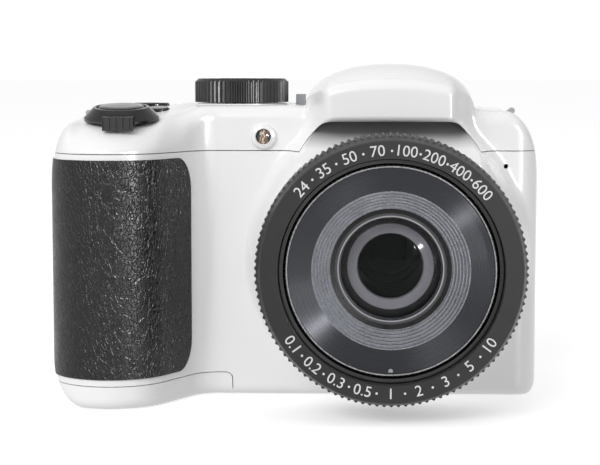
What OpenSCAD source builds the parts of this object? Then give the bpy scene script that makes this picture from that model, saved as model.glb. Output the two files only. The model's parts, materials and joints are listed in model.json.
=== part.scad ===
// Bridge camera: moulded housing with a hand grip, a nested zoom lens behind a knurled front ring,
// a pop-up flash in the hump, four AA cells in the grip and a monitor on the back.
// Lens axis at X = 0, front towards -Y, base on Z = 0, origin at the mouth of the tripod socket.

/* [Housing] */
// Width over the grip and the far side
body_w = 119.6; // [117:0.2:124]
// Lens axis to the far side wall
axis_to_side = 37.1; // [36.8:0.1:40]
// Height of the flat top deck
deck_h = 72; // [71:0.5:74]
// Front plane to rear face
body_d = 45; // [44:0.5:48]
// Front plane to the tripod socket
socket_setback = 20; // [19:0.5:21]
// Wall thickness of the covers
wall = 1.8; // [1.6:0.1:2]
// Deck down to the seam under the top cover
seam_drop = 10.5; // [10:0.25:11]
// Depth of the rear cover
rear_cover_d = 11; // [10:0.5:12]

/* [Grip] */
// Radius of the grip nose in plan
nose_r = 14.7; // [14:0.1:15.5]
// Nose centre ahead of the front plane
nose_fwd = 7.3; // [6.5:0.1:8.5]
// Radius of the hollow between grip and front
flank_r = 8; // [7:0.5:9]
// Side wall to the inner end of the grip
grip_w = 40.4; // [39:0.2:41]
// Forward slope of the grip top in degrees
top_slope = 7; // [6:0.5:8]
// Lower edge of the grip rubber
rubber_low = 7.4; // [7:0.1:9]
// Upper edge of the grip rubber
rubber_high = 60; // [58:0.25:60.5]
// Side wall to the inner edge of the rubber
rubber_w = 33.4; // [32:0.2:34]
// Depth of the rubber in the cover
rubber_t = 0.8; // [0.6:0.1:0.9]

/* [Hump] */
// Width of the hump at the deck
hump_w = 42; // [40:0.5:43]
// Height of the hump over the deck
hump_h = 11.5; // [10:0.25:12]
// Reach of the brow ahead of the front plane
brow_reach = 12; // [11:0.25:13]
// Deck down to the brow's lower edge
brow_drop = 3; // [2.6:0.1:3.2]

/* [Lens] */
// Height of the lens axis
lens_z = 35.4; // [35:0.1:36.2]
// Outer radius of the knurled ring
ring_r = 31.5; // [31:0.1:32.4]
// Length of the knurled ring
ring_len = 20; // [18:0.5:21]
// Reach of the ring ahead of the front plane
lens_reach = 38; // [36:0.5:42]
// Mouth radius of the front ring
mouth_r = 26.06; // [25.9:0.01:26.3]
// Number of ribs on the ring
ring_ribs = 118; // [100:2:150]
// Radius of the lens bulge on the front
bulge_r = 36.6; // [36:0.1:37.2]
// Radius of the recess round the barrel
collar_r = 32.4; // [32:0.1:32.6]
// Travel of the middle barrel
zoom_travel_1 = 24; // [18:0.5:24]
// Travel of the front barrel in the middle one
zoom_travel_2 = 22; // [16:0.5:22]

/* [Controls] */
// Shutter button radius
shutter_r = 5.8; // [5.4:0.1:6]
// Zoom lever skirt radius
lever_r = 9.2; // [8.6:0.1:9.4]
// Mode dial radius
dial_r = 12; // [11:0.1:12.2]
// Mode dial height
dial_h = 6; // [5:0.1:6.6]
// Number of ribs on the dial
dial_ribs = 60; // [48:2:72]
// Rear button radius
button_r = 3.4; // [3:0.1:3.6]
// Navigation ring outer radius
pad_r = 10.5; // [9.5:0.1:11]
// Monitor window width
lcd_w = 64; // [60:0.5:65]
// Monitor window height
lcd_h = 50; // [46:0.5:51]

/* [Base] */
// Height of the battery door seam
door_h = 5.6; // [5.2:0.1:6.2]
// Side wall to the inner end of the door
door_w = 43.2; // [42:0.2:43.4]
// Tripod thread radius
socket_r = 3.175; // [3:0.005:4.8]
// Tripod socket depth
socket_depth = 4.8; // [4:0.1:5]

/* [Hidden] */
$fn = 64;
gap = 0.3;
fit = 0.05;

x_left = axis_to_side - body_w;
x_right = axis_to_side;
y_front = -socket_setback;
y_rear = y_front + body_d;
y_split = y_rear - rear_cover_d;
seam_z = deck_h - seam_drop;
brow_z = deck_h - brow_drop;

// Grip in plan: a round nose, a straight flank and a hollow that runs out on the front plane
nose_x = x_left + nose_r;
flank_x = x_left + grip_w;

// Rounding of the four ends seen from the front: reach along X, then along Z or Y
left_top = [10.3, 11.6];
left_low = [9, 11];
left_back = [7, 6];
right_top = [9, 16];
right_low = [3, 3];
right_front = [6, 7];
right_back = [6, 5];

edge_front = 3.5;
edge_grip = 9;
edge_brow = 1.6;
edge_back = 4;
edge_low = 2.4;
push_end = y_rear - 16;
rise_from = seam_z - 4;
slope_from = y_front + 17;
bulge_soft = 7;
bulge_sink = 0.12;
brow_share = 0.56;
hump_full = 2.2;
crest_at = 0.25;
tail_at = 0.9;

function clamp(t) = min(1, max(0, t));
function ease(t) = let (c = clamp(t)) c * c * c * (c * (6 * c - 15) + 10);
function soft_min(a, b, k) = let (h = max(k - abs(a - b), 0) / k) min(a, b) - h * h * k / 4;
function soft_max(a, b, k) = -soft_min(-a, -b, k);
function side_in(t) = t < rubber_t ? 0.6 * t : 1.5 * t;
function mix(a, b, t) = a + (b - a) * t;
function corner(d, size, t) =
    let (run = max(size[0] - t, 0.4), drop = max(size[1] - t, 0.4), u = clamp(1 - d / run))
    drop * (1 - sqrt(1 - u * u));

// How far the grip stands ahead of the front plane, t is the inset of the skin
function grip_reach(x, t) =
    let (r = nose_r - t, rf = flank_r + t, up = nose_fwd + t)
    let (a = flank_x - nose_x, b = rf - up)
    let (slant = atan2(a, b) - acos((r + rf) / norm([a, b])))
    let (x1 = nose_x + r * sin(slant), x2 = flank_x - rf * sin(slant))
    x <= x1 ? up + sqrt(max(0, r * r - (x - nose_x) * (x - nose_x))) :
    x <= x2 ? rf - rf * cos(slant) + (x2 - x) * tan(slant) :
    x <= flank_x ? rf - sqrt(rf * rf - (flank_x - x) * (flank_x - x)) : 0;

// Share of the brow that carries the hump forward
function brow_part(x, z, t) =
    let (flare = 6 * ease((brow_z - z) / 14))
    let (neck = max(abs(x) - (hump_w / 2 - side_in(t)) - flare, lens_z + 8 - z))
    1 - ease((neck + bulge_soft) / bulge_soft);

// Rise of the hump over the deck, v runs from the front plane to the rear
function hump_rise(x, v, t) =
    let (a = abs(x) / (hump_w / 2 - side_in(t)))
    let (arch = a < 1 ? pow(1 - pow(a, hump_full), 1 / hump_full) : (1 - a) * 4)
    let (back = cos(90 * clamp((v - crest_at) / (tail_at - crest_at))))
    let (along = v < crest_at ? mix(brow_share, 1, sin(90 * v / crest_at)) : back * back)
    hump_h * soft_max(arch, 0, 0.2) * along;

function grip_mask(x) = ease((flank_x - 2 - x) / 10);
function hump_mask(x) = ease((hump_w / 2 + 1 - abs(x)) / 5);
function front_edge(x) = mix(mix(edge_front, edge_grip, grip_mask(x)), edge_brow, hump_mask(x));

// One point of the section at x moved from the plain box to the moulded form
function moulded_point(x, p, t, y0) =
    let (w = ease((push_end - p[0]) / (push_end - y0)))
    let (y1 = p[0] - grip_reach(x, t) * w)
    let (lift = ease((p[1] - rise_from) / (deck_h - rise_from)))
    let (v = clamp((p[0] - y_front) / body_d))
    let (dip = tan(top_slope) * soft_max(slope_from - y1, 0, 5) * grip_mask(x))
    let (z1 = p[1] + (hump_rise(x, v, t) - dip) * lift)
    [x, y1 - brow_reach * brow_part(x, z1, t) * w, z1];

function line(a, b, n) = [for (i = [1 : n - 1]) a + (b - a) * i / n];
function arc(c, r, a0, n) = [for (i = [0 : n]) c + r * [cos(a0 - 90 * i / n), sin(a0 - 90 * i / n)]];

// Closed section of the skin at x, from the front edge over the top and the back to the base
function section(x, t, fine) =
    let (dl = x - x_left - t, dr = x_right - t - x)
    let (y0 = y_front + t + corner(dr, right_front, t))
    let (y1 = y_rear - t - corner(dl, left_back, t) - corner(dr, right_back, t))
    let (z0 = t + corner(dl, left_low, t) + corner(dr, right_low, t))
    let (z1 = deck_h - t - corner(dl, left_top, t) - corner(dr, right_top, t))
    let (rf = max(front_edge(x) - t, 0.5), rb = max(edge_back - t, 0.5), rl = max(edge_low - t, 0.5))
    let (plain = concat(
        line([y0, z0 + rl], [y0, z1 - rf], fine ? 12 : 7),
        arc([y0 + rf, z1 - rf], rf, 180, fine ? 3 : 2),
        line([y0 + rf, z1], [y1 - rb, z1], fine ? 6 : 4),
        arc([y1 - rb, z1 - rb], rb, 90, fine ? 3 : 2),
        line([y1, z1 - rb], [y1, z0 + rl], 2),
        arc([y1 - rl, z0 + rl], rl, 0, fine ? 2 : 1),
        line([y1 - rl, z0], [y0 + rl, z0], 2),
        arc([y0 + rl, z0 + rl], rl, -90, fine ? 2 : 1)))
    [for (p = plain) moulded_point(x, p, t, y0)];

function spread(a, b, n) = [for (i = [0 : n - 1]) a + (b - a) * i / n];
function swell(a, b, n) = [for (i = [0 : n - 1]) a + (b - a) * (1 - cos(90 * i / n))];
function taper(a, b, n) = [for (i = [0 : n - 1]) a + (b - a) * sin(90 * i / n)];

function stations(t, fine) =
    let (hw = hump_w / 2 - side_in(t), a = nose_x + 6)
    concat(
        swell(x_left + t, x_left + 9, fine ? 6 : 4), spread(x_left + 9, a, fine ? 3 : 2),
        spread(a, flank_x, fine ? 8 : 6), spread(flank_x, -hw - 5, fine ? 3 : 1),
        spread(-hw - 5, -hw, fine ? 3 : 1), swell(-hw, 0, fine ? 6 : 4), taper(0, hw, fine ? 6 : 4),
        spread(hw, hw + 5, fine ? 3 : 1), [hw + 5],
        taper(x_right - 9.5, x_right - t, fine ? 6 : 4), [x_right - t]);

// Solid with the outer form of the housing, inset by t
module skin(t) {
    fine = t < rubber_t;
    xs = stations(t, fine);
    rings = [for (x = xs) section(x, t, fine)];
    n = len(rings[0]);
    m = len(rings);
    ends = [for (r = [rings[0], rings[m - 1]]) [for (k = [0 : 2]) [for (p = r) p[k]] * [for (p = r) 1 / n]]];
    points = concat([for (r = rings) each r], ends);
    sides = [for (i = [0 : m - 2]) for (j = [0 : n - 1])
        let (a = i * n + j, b = i * n + (j + 1) % n)
        each [[a, b, b + n], [a, b + n, a + n]]];
    first = [for (j = [0 : n - 1]) [m * n, (j + 1) % n, j]];
    last = [for (j = [0 : n - 1]) [m * n + 1, (m - 1) * n + j, (m - 1) * n + (j + 1) % n]];
    polyhedron(points, concat(sides, first, last), convexity = 6);
}

// Keeps a moulded form as one facetted body
module moulded() resize([0, 0, 0]) children();

// Flared bulge round the lens barrel
module bulge(t) {
    n = t < rubber_t ? 6 : 4;
    flare = [for (i = [0 : n]) [bulge_r - side_in(t) - bulge_soft * i / n,
        brow_reach * ease(i / n) - bulge_sink]];
    translate([0, y_front + t, lens_z])
        rotate([90, 0, 0])
            rotate_extrude($fn = t < rubber_t ? 60 : 36)
                polygon(concat([[0, -5], [flare[0][0], -5]], flare, [[0, brow_reach - bulge_sink]]));
}

module form(t) {
    skin(t);
    intersection() {
        bulge(t);
        translate([x_left, y_front - 40, edge_low + t])
            cube([body_w - t - 0.7, 80, deck_h - edge_low - 2.3 * t - 1.3]);
    }
}

module slab(x0, x1, y0, y1, z0, z1)
    translate([x0, y0, z0])
        cube([x1 - x0, y1 - y0, z1 - z0]);

// Front-view outline carried from y0 back to y1
module front_prism(y0, y1)
    translate([0, y1, 0])
        rotate([90, 0, 0])
            linear_extrude(y1 - y0)
                children();

module along_lens()
    translate([0, y_front, lens_z])
        rotate([90, 0, 0])
            children();

module rounded(x0, x1, z0, z1, r)
    offset(r)
        offset(delta = -r)
            translate([x0, z0])
                square([x1 - x0, z1 - z0]);

far = 1.5 * body_w;
collar_setback = 8;
collar_floor = 2;
collar_y = y_front - brow_reach + collar_setback;
floor_y = collar_y + collar_floor;
brow_slope = [[y_front - brow_reach - 1, seam_z - 4], [collar_y, brow_z]];

// Space ahead of the slope that runs back from the face of the bulge to the root of the brow
module under_brow(back) {
    a = brow_slope[0] + [back, 0];
    b = a + 1.6 * (brow_slope[1] - brow_slope[0]);
    translate([-far, 0, 0])
        rotate([90, 0, 90])
            linear_extrude(2 * far)
                polygon([[-far, a[1]], a, b, [-far, b[1]]]);
}

// Opening under the brow, with the round recess of the barrel
module collar_outline(grow) {
    a = hump_w / 2;
    right = [[a + 3.5 + grow, lens_z + 15], [a + 1.5 + grow, seam_z], [a - 2.7 + grow, brow_z - 1.7],
        [a - 5 + 0.4 * grow, brow_z + grow]];
    left = [for (i = [3 : -1 : 0]) [-right[i][0], right[i][1]]];
    translate([0, lens_z])
        circle(collar_r + grow);
    polygon(concat(right, left));
}

// Lens sizes along the axis, counted forward from the front plane
tube_r = 28.5;
tube_in = 27.2;
flange_r = 29.8;
tube_back = -26;
tube_front = lens_reach - 5;
chassis_y = y_front - tube_back;
chassis_t = 1.6;
barrel_front = lens_reach - 3.3;
mid_r = mouth_r - 0.31;
mid_in = mid_r - 0.8;
mid_back = tube_front - 12.4 - zoom_travel_1;
front_back = barrel_front - 14.7 - zoom_travel_2;
front_r = mid_in - gap;
front_in = front_r - 1.4;

// Battery door hinge
door_x = x_left + door_w;
hinge_h = 1.5;
hinge_x = door_x - hinge_h;
hinge_pin_r = 0.7;
ear_w = 3;
ear_sweep = norm([hinge_h, hinge_h]) + gap;
ears_y = [y_front + 9, y_front + 26];
door_end = y_split - gap;

module door_outline(grow)
    offset(delta = grow)
        rounded(x_left - 10, door_x, -10, door_h, 1.6);

module door_axis(y0, y1)
    translate([hinge_x, y1, hinge_h])
        rotate([90, 0, 0])
            linear_extrude(y1 - y0)
                children();

// Grip rubber
rubber_x = x_left + rubber_w;
rubber_proud = 0.35;
rubber_corner = [2.6, 8];

module rubber_zone()
    front_prism(-far, y_split - 1)
        hull() {
            translate([x_left - 30, rubber_low])
                square([1, rubber_high - rubber_low]);
            for (z = [rubber_low + rubber_corner[1], rubber_high - rubber_corner[1]])
                translate([rubber_x - rubber_corner[0], z])
                    scale(rubber_corner)
                        circle(1, $fn = 40);
        }

// Ports on the far side
port = [y_front + 20, y_front + 31.6, 26, 50];
port_pin = [x_right - 0.75, port[1] - 0.6];
port_pin_r = 0.5;
knuckle_r = 0.95;

// Base screws
screws = [[29, y_front + 11], [29, y_front + 29], [-29, y_front + 11], [-29, y_front + 29]];
screw_head = [1.8, 1.0];
screw_shank = [0.9, 3.4];
screw_sink = 0.25;

module at_screws()
    for (p = screws)
        translate([p[0], p[1], 0])
            children();

// Microphone
mic = [axis_to_side - 8.3, seam_z - 3.8];
mic_r = 0.6;

socket_body = 5.2;
socket_flange = 7.5;
socket_rim = 1.4;

// Part of the housing inside the first child: the outer form less the hollow, which spares the other children
module cover_of() {
    difference() {
        intersection() {
            form(0);
            children(0);
        }
        difference() {
            form(wall);
            children([1 : $children - 1]);
        }
    }
}

module front_cover() color("white")
    difference() {
        moulded()
            difference() {
                intersection() {
                    form(0);
                    union() {
                        slab(-far, far, -far, y_split, -1, seam_z);
                        front_prism(-far, floor_y + 1)
                            collar_outline(0);
                    }
                }
                difference() {
                    union() {
                        difference() {
                            form(wall);
                            intersection() {
                                front_prism(-far, floor_y)
                                    collar_outline(wall);
                                under_brow(1.3 * wall);
                            }
                        }
                        front_prism(-far, far)
                            door_outline(gap);
                    }
                    for (y = ears_y)
                        slab(hinge_x - hinge_h, door_x + 1.5, y, y + ear_w, -1, hinge_h + 1);
                }
                intersection() {
                    front_prism(-far, collar_y + 0.5)
                        collar_outline(0);
                    under_brow(0);
                }
                difference() {
                    rubber_zone();
                    skin(rubber_t);
                }
                slab(x_right - 3, far, port[0] - gap, port[1] + 0.7, port[2] - gap, port[3] + gap);
                at_screws() {
                    translate([0, 0, -1])
                        cylinder(r = screw_head[0] + 0.2, h = 1 + screw_sink + screw_head[1], $fn = 24);
                    cylinder(r = screw_shank[0] + 0.2, h = 4, $fn = 24);
                }
            }
        along_lens()
            translate([0, 0, -collar_setback])
                cylinder(r = tube_r + gap, h = 60);
        translate([0, 0, -1])
            cylinder(r = socket_body + fit, h = wall + 2);
        translate([mic[0], y_front + 3, mic[1]])
            rotate([90, 0, 0])
                cylinder(r = mic_r, h = 20);
        door_axis(ears_y[0] - 1, ears_y[1] + ear_w + 1)
            circle(hinge_pin_r + 0.01);
        translate([port_pin[0], port_pin[1], port[2] - 1.5])
            cylinder(r = port_pin_r + 0.01, h = port[3] - port[2] + 3);
    }

module grip_rubber() color("dimgray")
    moulded()
        intersection() {
            difference() {
                skin(-rubber_proud);
                skin(rubber_t);
            }
            rubber_zone();
        }

// Flash lid and its hinge at the back of the hump
lid_z = deck_h + 0.8;
lid_axis = [y_front + 30.5, deck_h + 1.3];
lid_knuckle = 1.3;
lid_pin_r = 0.7;
lid_back = 2.2;
lid_edge = deck_h + hump_rise(0, (lid_axis[0] - lid_back - y_front) / body_d, 0) - lid_axis[1];
lid_sweep = norm([lid_back, lid_edge]) + gap;
arm = [3, 9];
tray_t = 1.4;
tray_z = brow_z + wall - tray_t - 0.25;

module lid_plan(y_in) {
    hw = hump_w / 2 + 1;
    n = 28;
    face = [for (i = [0 : n]) let (x = mix(-hw, hw, i / n))
        [x, y_front + wall + y_in - brow_reach * brow_part(x, lid_z + 3, wall)]];
    polygon(concat(face, [[hw, lid_axis[0] - lid_back], [-hw, lid_axis[0] - lid_back]]));
}

module lid_line(x0, x1)
    translate([x0, lid_axis[0], lid_axis[1]])
        rotate([90, 0, 90])
            linear_extrude(x1 - x0)
                children();

// Shutter button and zoom lever on the sloping grip top
shut = [nose_x + 2.1, y_front - nose_fwd + 0.3];
function deck_at(y) = deck_h - tan(top_slope) * max(0, slope_from - y);

module on_slope(p)
    translate([p[0], p[1], deck_at(p[1])])
        rotate([top_slope, 0, 0])
            children();

lever_stem = shutter_r + 1.4;
lever_in = shutter_r + gap;
seat_r = lever_stem + 3.4;

dial = [x_left + 44.7, y_front + 16];
dial_boss = 1;
dial_shaft = 3;
power = [x_left + 20.4, y_front + 24];
power_r = 4.7;
burst = [x_left + 23.9, y_front + 10];
burst_r = 2.7;
flash_key = [-hump_w / 2 - 2.9, -hump_w / 2 - 0.6, y_front + 17, y_front + 25];
key_flange = 0.8;

// Focus lamp on the front of the top cover
lamp = [x_left + 51.2, seam_z + 3.5];
lamp_bezel_r = 3.2;
lamp_lens_r = 1.85;
lamp_stem = 2.5;

module at_lamp()
    translate([lamp[0], y_front, lamp[1]])
        rotate([90, 0, 0])
            children();

// Strap lugs on both shoulders: place, side and depth under the deck
lugs = [[x_left + 4.2, -1, 2.2], [x_right - 5.4, 1, 1.5]];
lug_y = y_front + 24;
lug_lean = 45;
lug_loop = 2.6;
lug_wire = 0.9;
lug_sink = 3.1;
lug_leg = 1;

module at_lug(p)
    translate([p[0], lug_y, deck_h - p[2]])
        rotate([0, p[1] * lug_lean, 0])
            translate([0, 0, -lug_sink])
                children();

module lug_dish(p)
    at_lug(p)
        translate([0, 0, lug_sink + 1.6])
            sphere(4.6, $fn = 28);

module lug_holes(p)
    at_lug(p)
        for (s = [-1, 1])
            translate([0, s * lug_loop, -1.5])
                cylinder(r = lug_wire + 0.06, h = 6, $fn = 32);

module top_shell()
    cover_of() {
        slab(-far, far, -far, y_split, seam_z, far * 2);
        front_prism(-far, floor_y)
            collar_outline(wall);
        slab(-hump_w / 2 + 0.5, hump_w / 2 - 0.5, floor_y - 1, lid_axis[0] + 3,
            tray_z, tray_z + tray_t);
        on_slope(shut)
            translate([0, 0, -3.6])
                cylinder(r = seat_r, h = 8, $fn = 48);
        translate([dial[0], dial[1], deck_h - 5])
            cylinder(r = dial_shaft + 2.5, h = 4.5, $fn = 48);
        for (p = lugs)
            at_lug(p)
                translate([-5, -lug_loop - 3, -2])
                    cube([10, 2 * lug_loop + 6, 9]);
    }

module top_cover() color("white")
    difference() {
        moulded()
            difference() {
                union() {
                    top_shell();
                    translate([dial[0], dial[1], deck_h - 1])
                        cylinder(r = dial_r - 0.4, h = 1 + dial_boss, $fn = 60);
                }
                front_prism(-far, floor_y + 0.5)
                    collar_outline(0);
                translate([0, 0, lid_z])
                    linear_extrude(40)
                        lid_plan(-0.15);
                slab(-arm[1] - 0.4, arm[1] + 0.4, lid_axis[0] - lid_back - 0.5, lid_axis[0] + 1.8,
                    lid_axis[1] - 1.8, far * 2);
                for (p = lugs)
                    lug_dish(p);
                slab(flash_key[0] - gap, flash_key[1] + gap, flash_key[2] - gap, flash_key[3] + gap,
                    deck_h - wall - 0.5, far * 2);
            }
        on_slope(shut)
            translate([0, 0, -6])
                cylinder(r = lever_stem + 0.2, h = 12);
        translate([dial[0], dial[1], deck_h - 7])
            cylinder(r = dial_shaft + fit, h = 12);
        translate([power[0], power[1], deck_h - 6])
            cylinder(r = power_r + 0.25, h = 12);
        on_slope(burst)
            translate([0, 0, -6])
                cylinder(r = burst_r + 0.25, h = 12);
        at_lamp()
            translate([0, 0, -6])
                cylinder(r = lamp_stem + fit, h = 12);
        lid_line(-arm[1] - 4, arm[1] + 4)
            circle(lid_pin_r + 0.01);
        for (p = lugs)
            lug_holes(p);
    }

// Monitor and rear controls
lcd = [-1.5, 33];
lcd_glass = 1.2;
lcd_lip = 1;
record = [x_left + 38, seam_z + 1.5];
keys = [[x_left + 12, 13], [x_left + 41, 13], [x_left + 41, 43]];
pad = [x_left + 26.6, 28];
pad_in = 5.6;
set_r = 5.2;

module at_rear(p)
    translate([p[0], y_rear, p[1]])
        rotate([-90, 0, 0])
            children();

module rear_cover() color("white")
    difference() {
        moulded()
            difference() {
                cover_of()
                    slab(-far, far, y_split, far, -1, far * 2);
                slab(lcd[0] - lcd_w / 2 + lcd_lip, lcd[0] + lcd_w / 2 - lcd_lip, y_split, far,
                    lcd[1] - lcd_h / 2 + lcd_lip, lcd[1] + lcd_h / 2 - lcd_lip);
                slab(lcd[0] - lcd_w / 2 - fit, lcd[0] + lcd_w / 2 + fit, y_rear - lcd_glass, far,
                    lcd[1] - lcd_h / 2 - fit, lcd[1] + lcd_h / 2 + fit);
            }
        for (p = concat(keys, [record]))
            at_rear(p)
                translate([0, 0, -5])
                    cylinder(r = button_r + 0.2, h = 10);
        at_rear(pad)
            translate([0, 0, -5])
                cylinder(r = pad_r + gap, h = 10);
    }

module flash_lid() color("white")
    difference() {
        moulded()
            union() {
                difference() {
                    intersection() {
                        difference() {
                            form(0);
                            form(wall);
                        }
                        translate([0, 0, lid_z + gap])
                            linear_extrude(40)
                                lid_plan(gap);
                    }
                    lid_line(-far, far)
                        circle(lid_sweep, $fn = 32);
                }
                for (s = [-1, 1])
                    intersection() {
                        form(0);
                        slab(min(s * arm[0], s * arm[1]), max(s * arm[0], s * arm[1]),
                            lid_axis[0] - 6, lid_axis[0], lid_axis[1] - lid_knuckle, far * 2);
                    }
                for (s = [-1, 1])
                    lid_line(min(s * arm[0], s * arm[1]), max(s * arm[0], s * arm[1]))
                        circle(lid_knuckle, $fn = 24);
            }
        lid_line(-far, far)
            circle(lid_pin_r + 0.06);
    }

module flash_pin() color("silver")
    lid_line(-arm[1] - 3.5, arm[1] + 3.5)
        circle(lid_pin_r);

// Flash head inside the front of the lid
head_w = hump_w / 2 - 9.6;
head_y = [y_front - brow_reach + wall + 0.9, y_front - brow_reach + wall + 9];
head_z = [max(tray_z + tray_t, lens_z + collar_r + wall) + gap, lid_z + 2.5];
window_w = head_w - 1.4;
window_t = 1.1;

module flash_head() color("black")
    difference() {
        moulded()
            intersection() {
                form(wall);
                slab(-head_w, head_w, head_y[0], head_y[1], head_z[0], far);
            }
        slab(-window_w - fit, window_w + fit, head_y[0] - 5, head_y[1] - 1.5, head_z[0] + 0.6, head_z[1]);
    }

module flash_window() color("lightblue")
    slab(-window_w, window_w, head_y[0], head_y[0] + window_t, head_z[0] + 0.6, head_z[1]);

tube_y = head_y[0] + 3.4;
tube_z = (head_z[0] + 0.6 + head_z[1]) / 2;

module reflector() color("silver")
    difference() {
        slab(-window_w, window_w, head_y[0] + window_t, head_y[1] - 1.5, head_z[0] + 0.6, head_z[1]);
        slab(-far, far, head_y[0], tube_y, head_z[0] + 0.9, head_z[1] - 0.3);
        translate([-far, tube_y, tube_z])
            rotate([0, 90, 0])
                cylinder(r = (head_z[1] - head_z[0] - 1.2) / 2, h = 2 * far);
        translate([-far, tube_y, tube_z])
            rotate([0, 90, 0])
                cylinder(r = 0.8 + fit, h = 2 * far);
    }

module battery_door() color("white")
    difference() {
        moulded()
            difference() {
                union() {
                    difference() {
                        intersection() {
                            difference() {
                                form(0);
                                form(wall);
                            }
                            front_prism(-far, door_end)
                                door_outline(0);
                        }
                        difference() {
                            slab(hinge_x, far, -far, far, -1, hinge_h);
                            door_axis(-far, y_front + 2.5)
                                circle(hinge_h + 0.02, $fn = 32);
                        }
                    }
                    door_axis(y_front + 2.3, door_end - 0.5)
                        circle(hinge_h - 0.03, $fn = 32);
                }
                for (y = ears_y)
                    slab(hinge_x - ear_sweep, far, y - gap, y + ear_w + gap, -1, hinge_h + 1.6);
                slab(latch_x - 3 - gap, latch_x + 8 + latch_travel, latch_y - 3 - gap, latch_y + 3 + gap,
                    -1, 0.9);
                slab(latch_x - gap, latch_x + 4 + latch_travel, latch_y - 1.5 - gap, latch_y + 1.5 + gap,
                    -1, wall + 1);
            }
        door_axis(ears_y[0] - 5, far)
            circle(hinge_pin_r + 0.06);
    }

// Sliding latch in the floor of the door
latch_x = nose_x - 2;
latch_y = y_front - nose_fwd - 4.5;
latch_travel = 3;

module battery_latch() color("gray") {
    difference() {
        slab(latch_x - 3, latch_x + 5, latch_y - 3, latch_y + 3, 0.2, 0.7);
        for (i = [0 : 2])
            slab(latch_x - 1.5 + 2 * i, latch_x - 0.7 + 2 * i, latch_y - 4, latch_y + 4, 0, 0.4);
    }
    slab(latch_x, latch_x + 4, latch_y - 1.5, latch_y + 1.5, 0.6, wall + 0.5);
    slab(latch_x - 2, latch_x + 6, latch_y - 3, latch_y + 3, wall + 0.3, wall + 1.1);
}

module door_pin() color("silver")
    door_axis(ears_y[0] - 4, ears_y[1] + ear_w + 1)
        circle(hinge_pin_r);

// Four upright AA cells, two by two
cell_r = 7.25;
cell_h = 50.5;
cell_pitch = 14.8;
cell_x = x_left + 10.7;
cell_y = y_front + 5;
cell_z = door_h + 3;
box_wall = 0.6;
box_r = cell_r + 0.2 + box_wall;
cell_spots = [for (i = [0, 1]) for (j = [0, 1]) [cell_x + i * cell_pitch, cell_y + j * cell_pitch]];
cells_top = cell_z + cell_h;

module at_cells()
    for (p = cell_spots)
        translate([p[0], p[1], 0])
            children();

module battery_cells() color("steelblue")
    at_cells()
        translate([0, 0, cell_z]) {
            cylinder(r = cell_r, h = cell_h - 1);
            cylinder(r = 2.7, h = cell_h);
        }

contact_t = 0.3;
box_top = cells_top + contact_t + 1;

module battery_box() color("dimgray")
    difference() {
        union() {
            at_cells()
                translate([0, 0, cell_z + 1])
                    cylinder(r = box_r, h = box_top - cell_z - 1);
            slab(cell_x, cell_x + cell_pitch, cell_y, cell_y + cell_pitch, cell_z + 1, box_top);
            slab(cell_x + cell_pitch, slot_x, cell_y + 11, cell_y + 18, 20, 40);
        }
        at_cells()
            cylinder(r = cell_r + 0.2, h = cells_top + contact_t);
    }

module door_contacts() color("gold") {
    for (j = [0, 1])
        slab(cell_x - 1.8, cell_x + cell_pitch + 4, cell_y + j * cell_pitch - 4.5,
            cell_y + j * cell_pitch + 4.5, wall + fit, wall + 0.8);
    at_cells()
        translate([0, 0, wall + 0.8])
            cylinder(r1 = 3.6, r2 = 1.6, h = cell_z - gap - wall - 0.8);
}

// Memory card upright beside the cells
card = [24, 32, 2.1];
card_x = x_left + 36;
card_y = y_front + 8;
card_z = door_h + 3.2;
slot_x = card_x - 1.1;
slot_w = card[2] + 2.2;

module memory_card() color("black")
    difference() {
        slab(card_x, card_x + card[2], card_y, card_y + card[0], card_z, card_z + card[1]);
        translate([card_x - 1, card_y + card[0], card_z + card[1] - 4])
            rotate([45, 0, 0])
                cube([card[2] + 2, 8, 8]);
    }

module card_slot() color("silver")
    difference() {
        slab(slot_x, slot_x + slot_w, card_y - 0.9, card_y + card[0] + 0.9, card_z + 5, card_z + card[1] + 1);
        slab(card_x - 0.1, card_x + card[2] + 0.1, card_y - 0.1, card_y + card[0] + 0.1, 0, card_z + card[1]);
    }

module tripod_socket() color("silver")
    difference() {
        union() {
            cylinder(r = socket_body, h = socket_depth + 0.6);
            translate([0, 0, wall])
                cylinder(r = socket_flange, h = socket_rim);
        }
        translate([0, 0, -1])
            cylinder(r = socket_r, h = socket_depth + 1);
    }

module base_screws() color("silver")
    at_screws()
        difference() {
            union() {
                translate([0, 0, screw_sink])
                    cylinder(r = screw_head[0], h = screw_head[1]);
                translate([0, 0, screw_sink])
                    cylinder(r = screw_shank[0], h = screw_shank[1]);
            }
            slab(-0.25, 0.25, -1.3, 1.3, 0, screw_sink + 0.5);
            slab(-1.3, 1.3, -0.25, 0.25, 0, screw_sink + 0.5);
        }

foot_z = wall + socket_rim;
chassis_left = slot_x + slot_w;
chassis_right = flange_r - 0.3;
chassis_top = seam_z - 2.5;
board_y = chassis_y + 6;
posts = [[-22, 14], [22, 14], [-22, 54], [22, 54]];

module chassis() color("silver")
    difference() {
        union() {
            slab(chassis_left, chassis_right, chassis_y, chassis_y + chassis_t, foot_z, chassis_top);
            slab(-9, 9, -8, chassis_y + chassis_t, foot_z, foot_z + 1.2);
            for (p = posts)
                translate([p[0], board_y, p[1]])
                    rotate([90, 0, 0])
                        cylinder(r = 1.5, h = board_y - chassis_y);
        }
        translate([0, 0, foot_z - 1])
            cylinder(r = socket_body + fit, h = 4);
        slab(-5, 5, chassis_y - 1, chassis_y + chassis_t + 1, lens_z - 4, lens_z + 4);
    }

module main_board() color("green") {
    slab(-34, x_right - 4.2, board_y, board_y + 1.2, 8, 58);
    slab(port_board_x, port_board_x + 1, port[0], board_y + 0.6, port[2] + 1, port[3] - 1);
}

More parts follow.
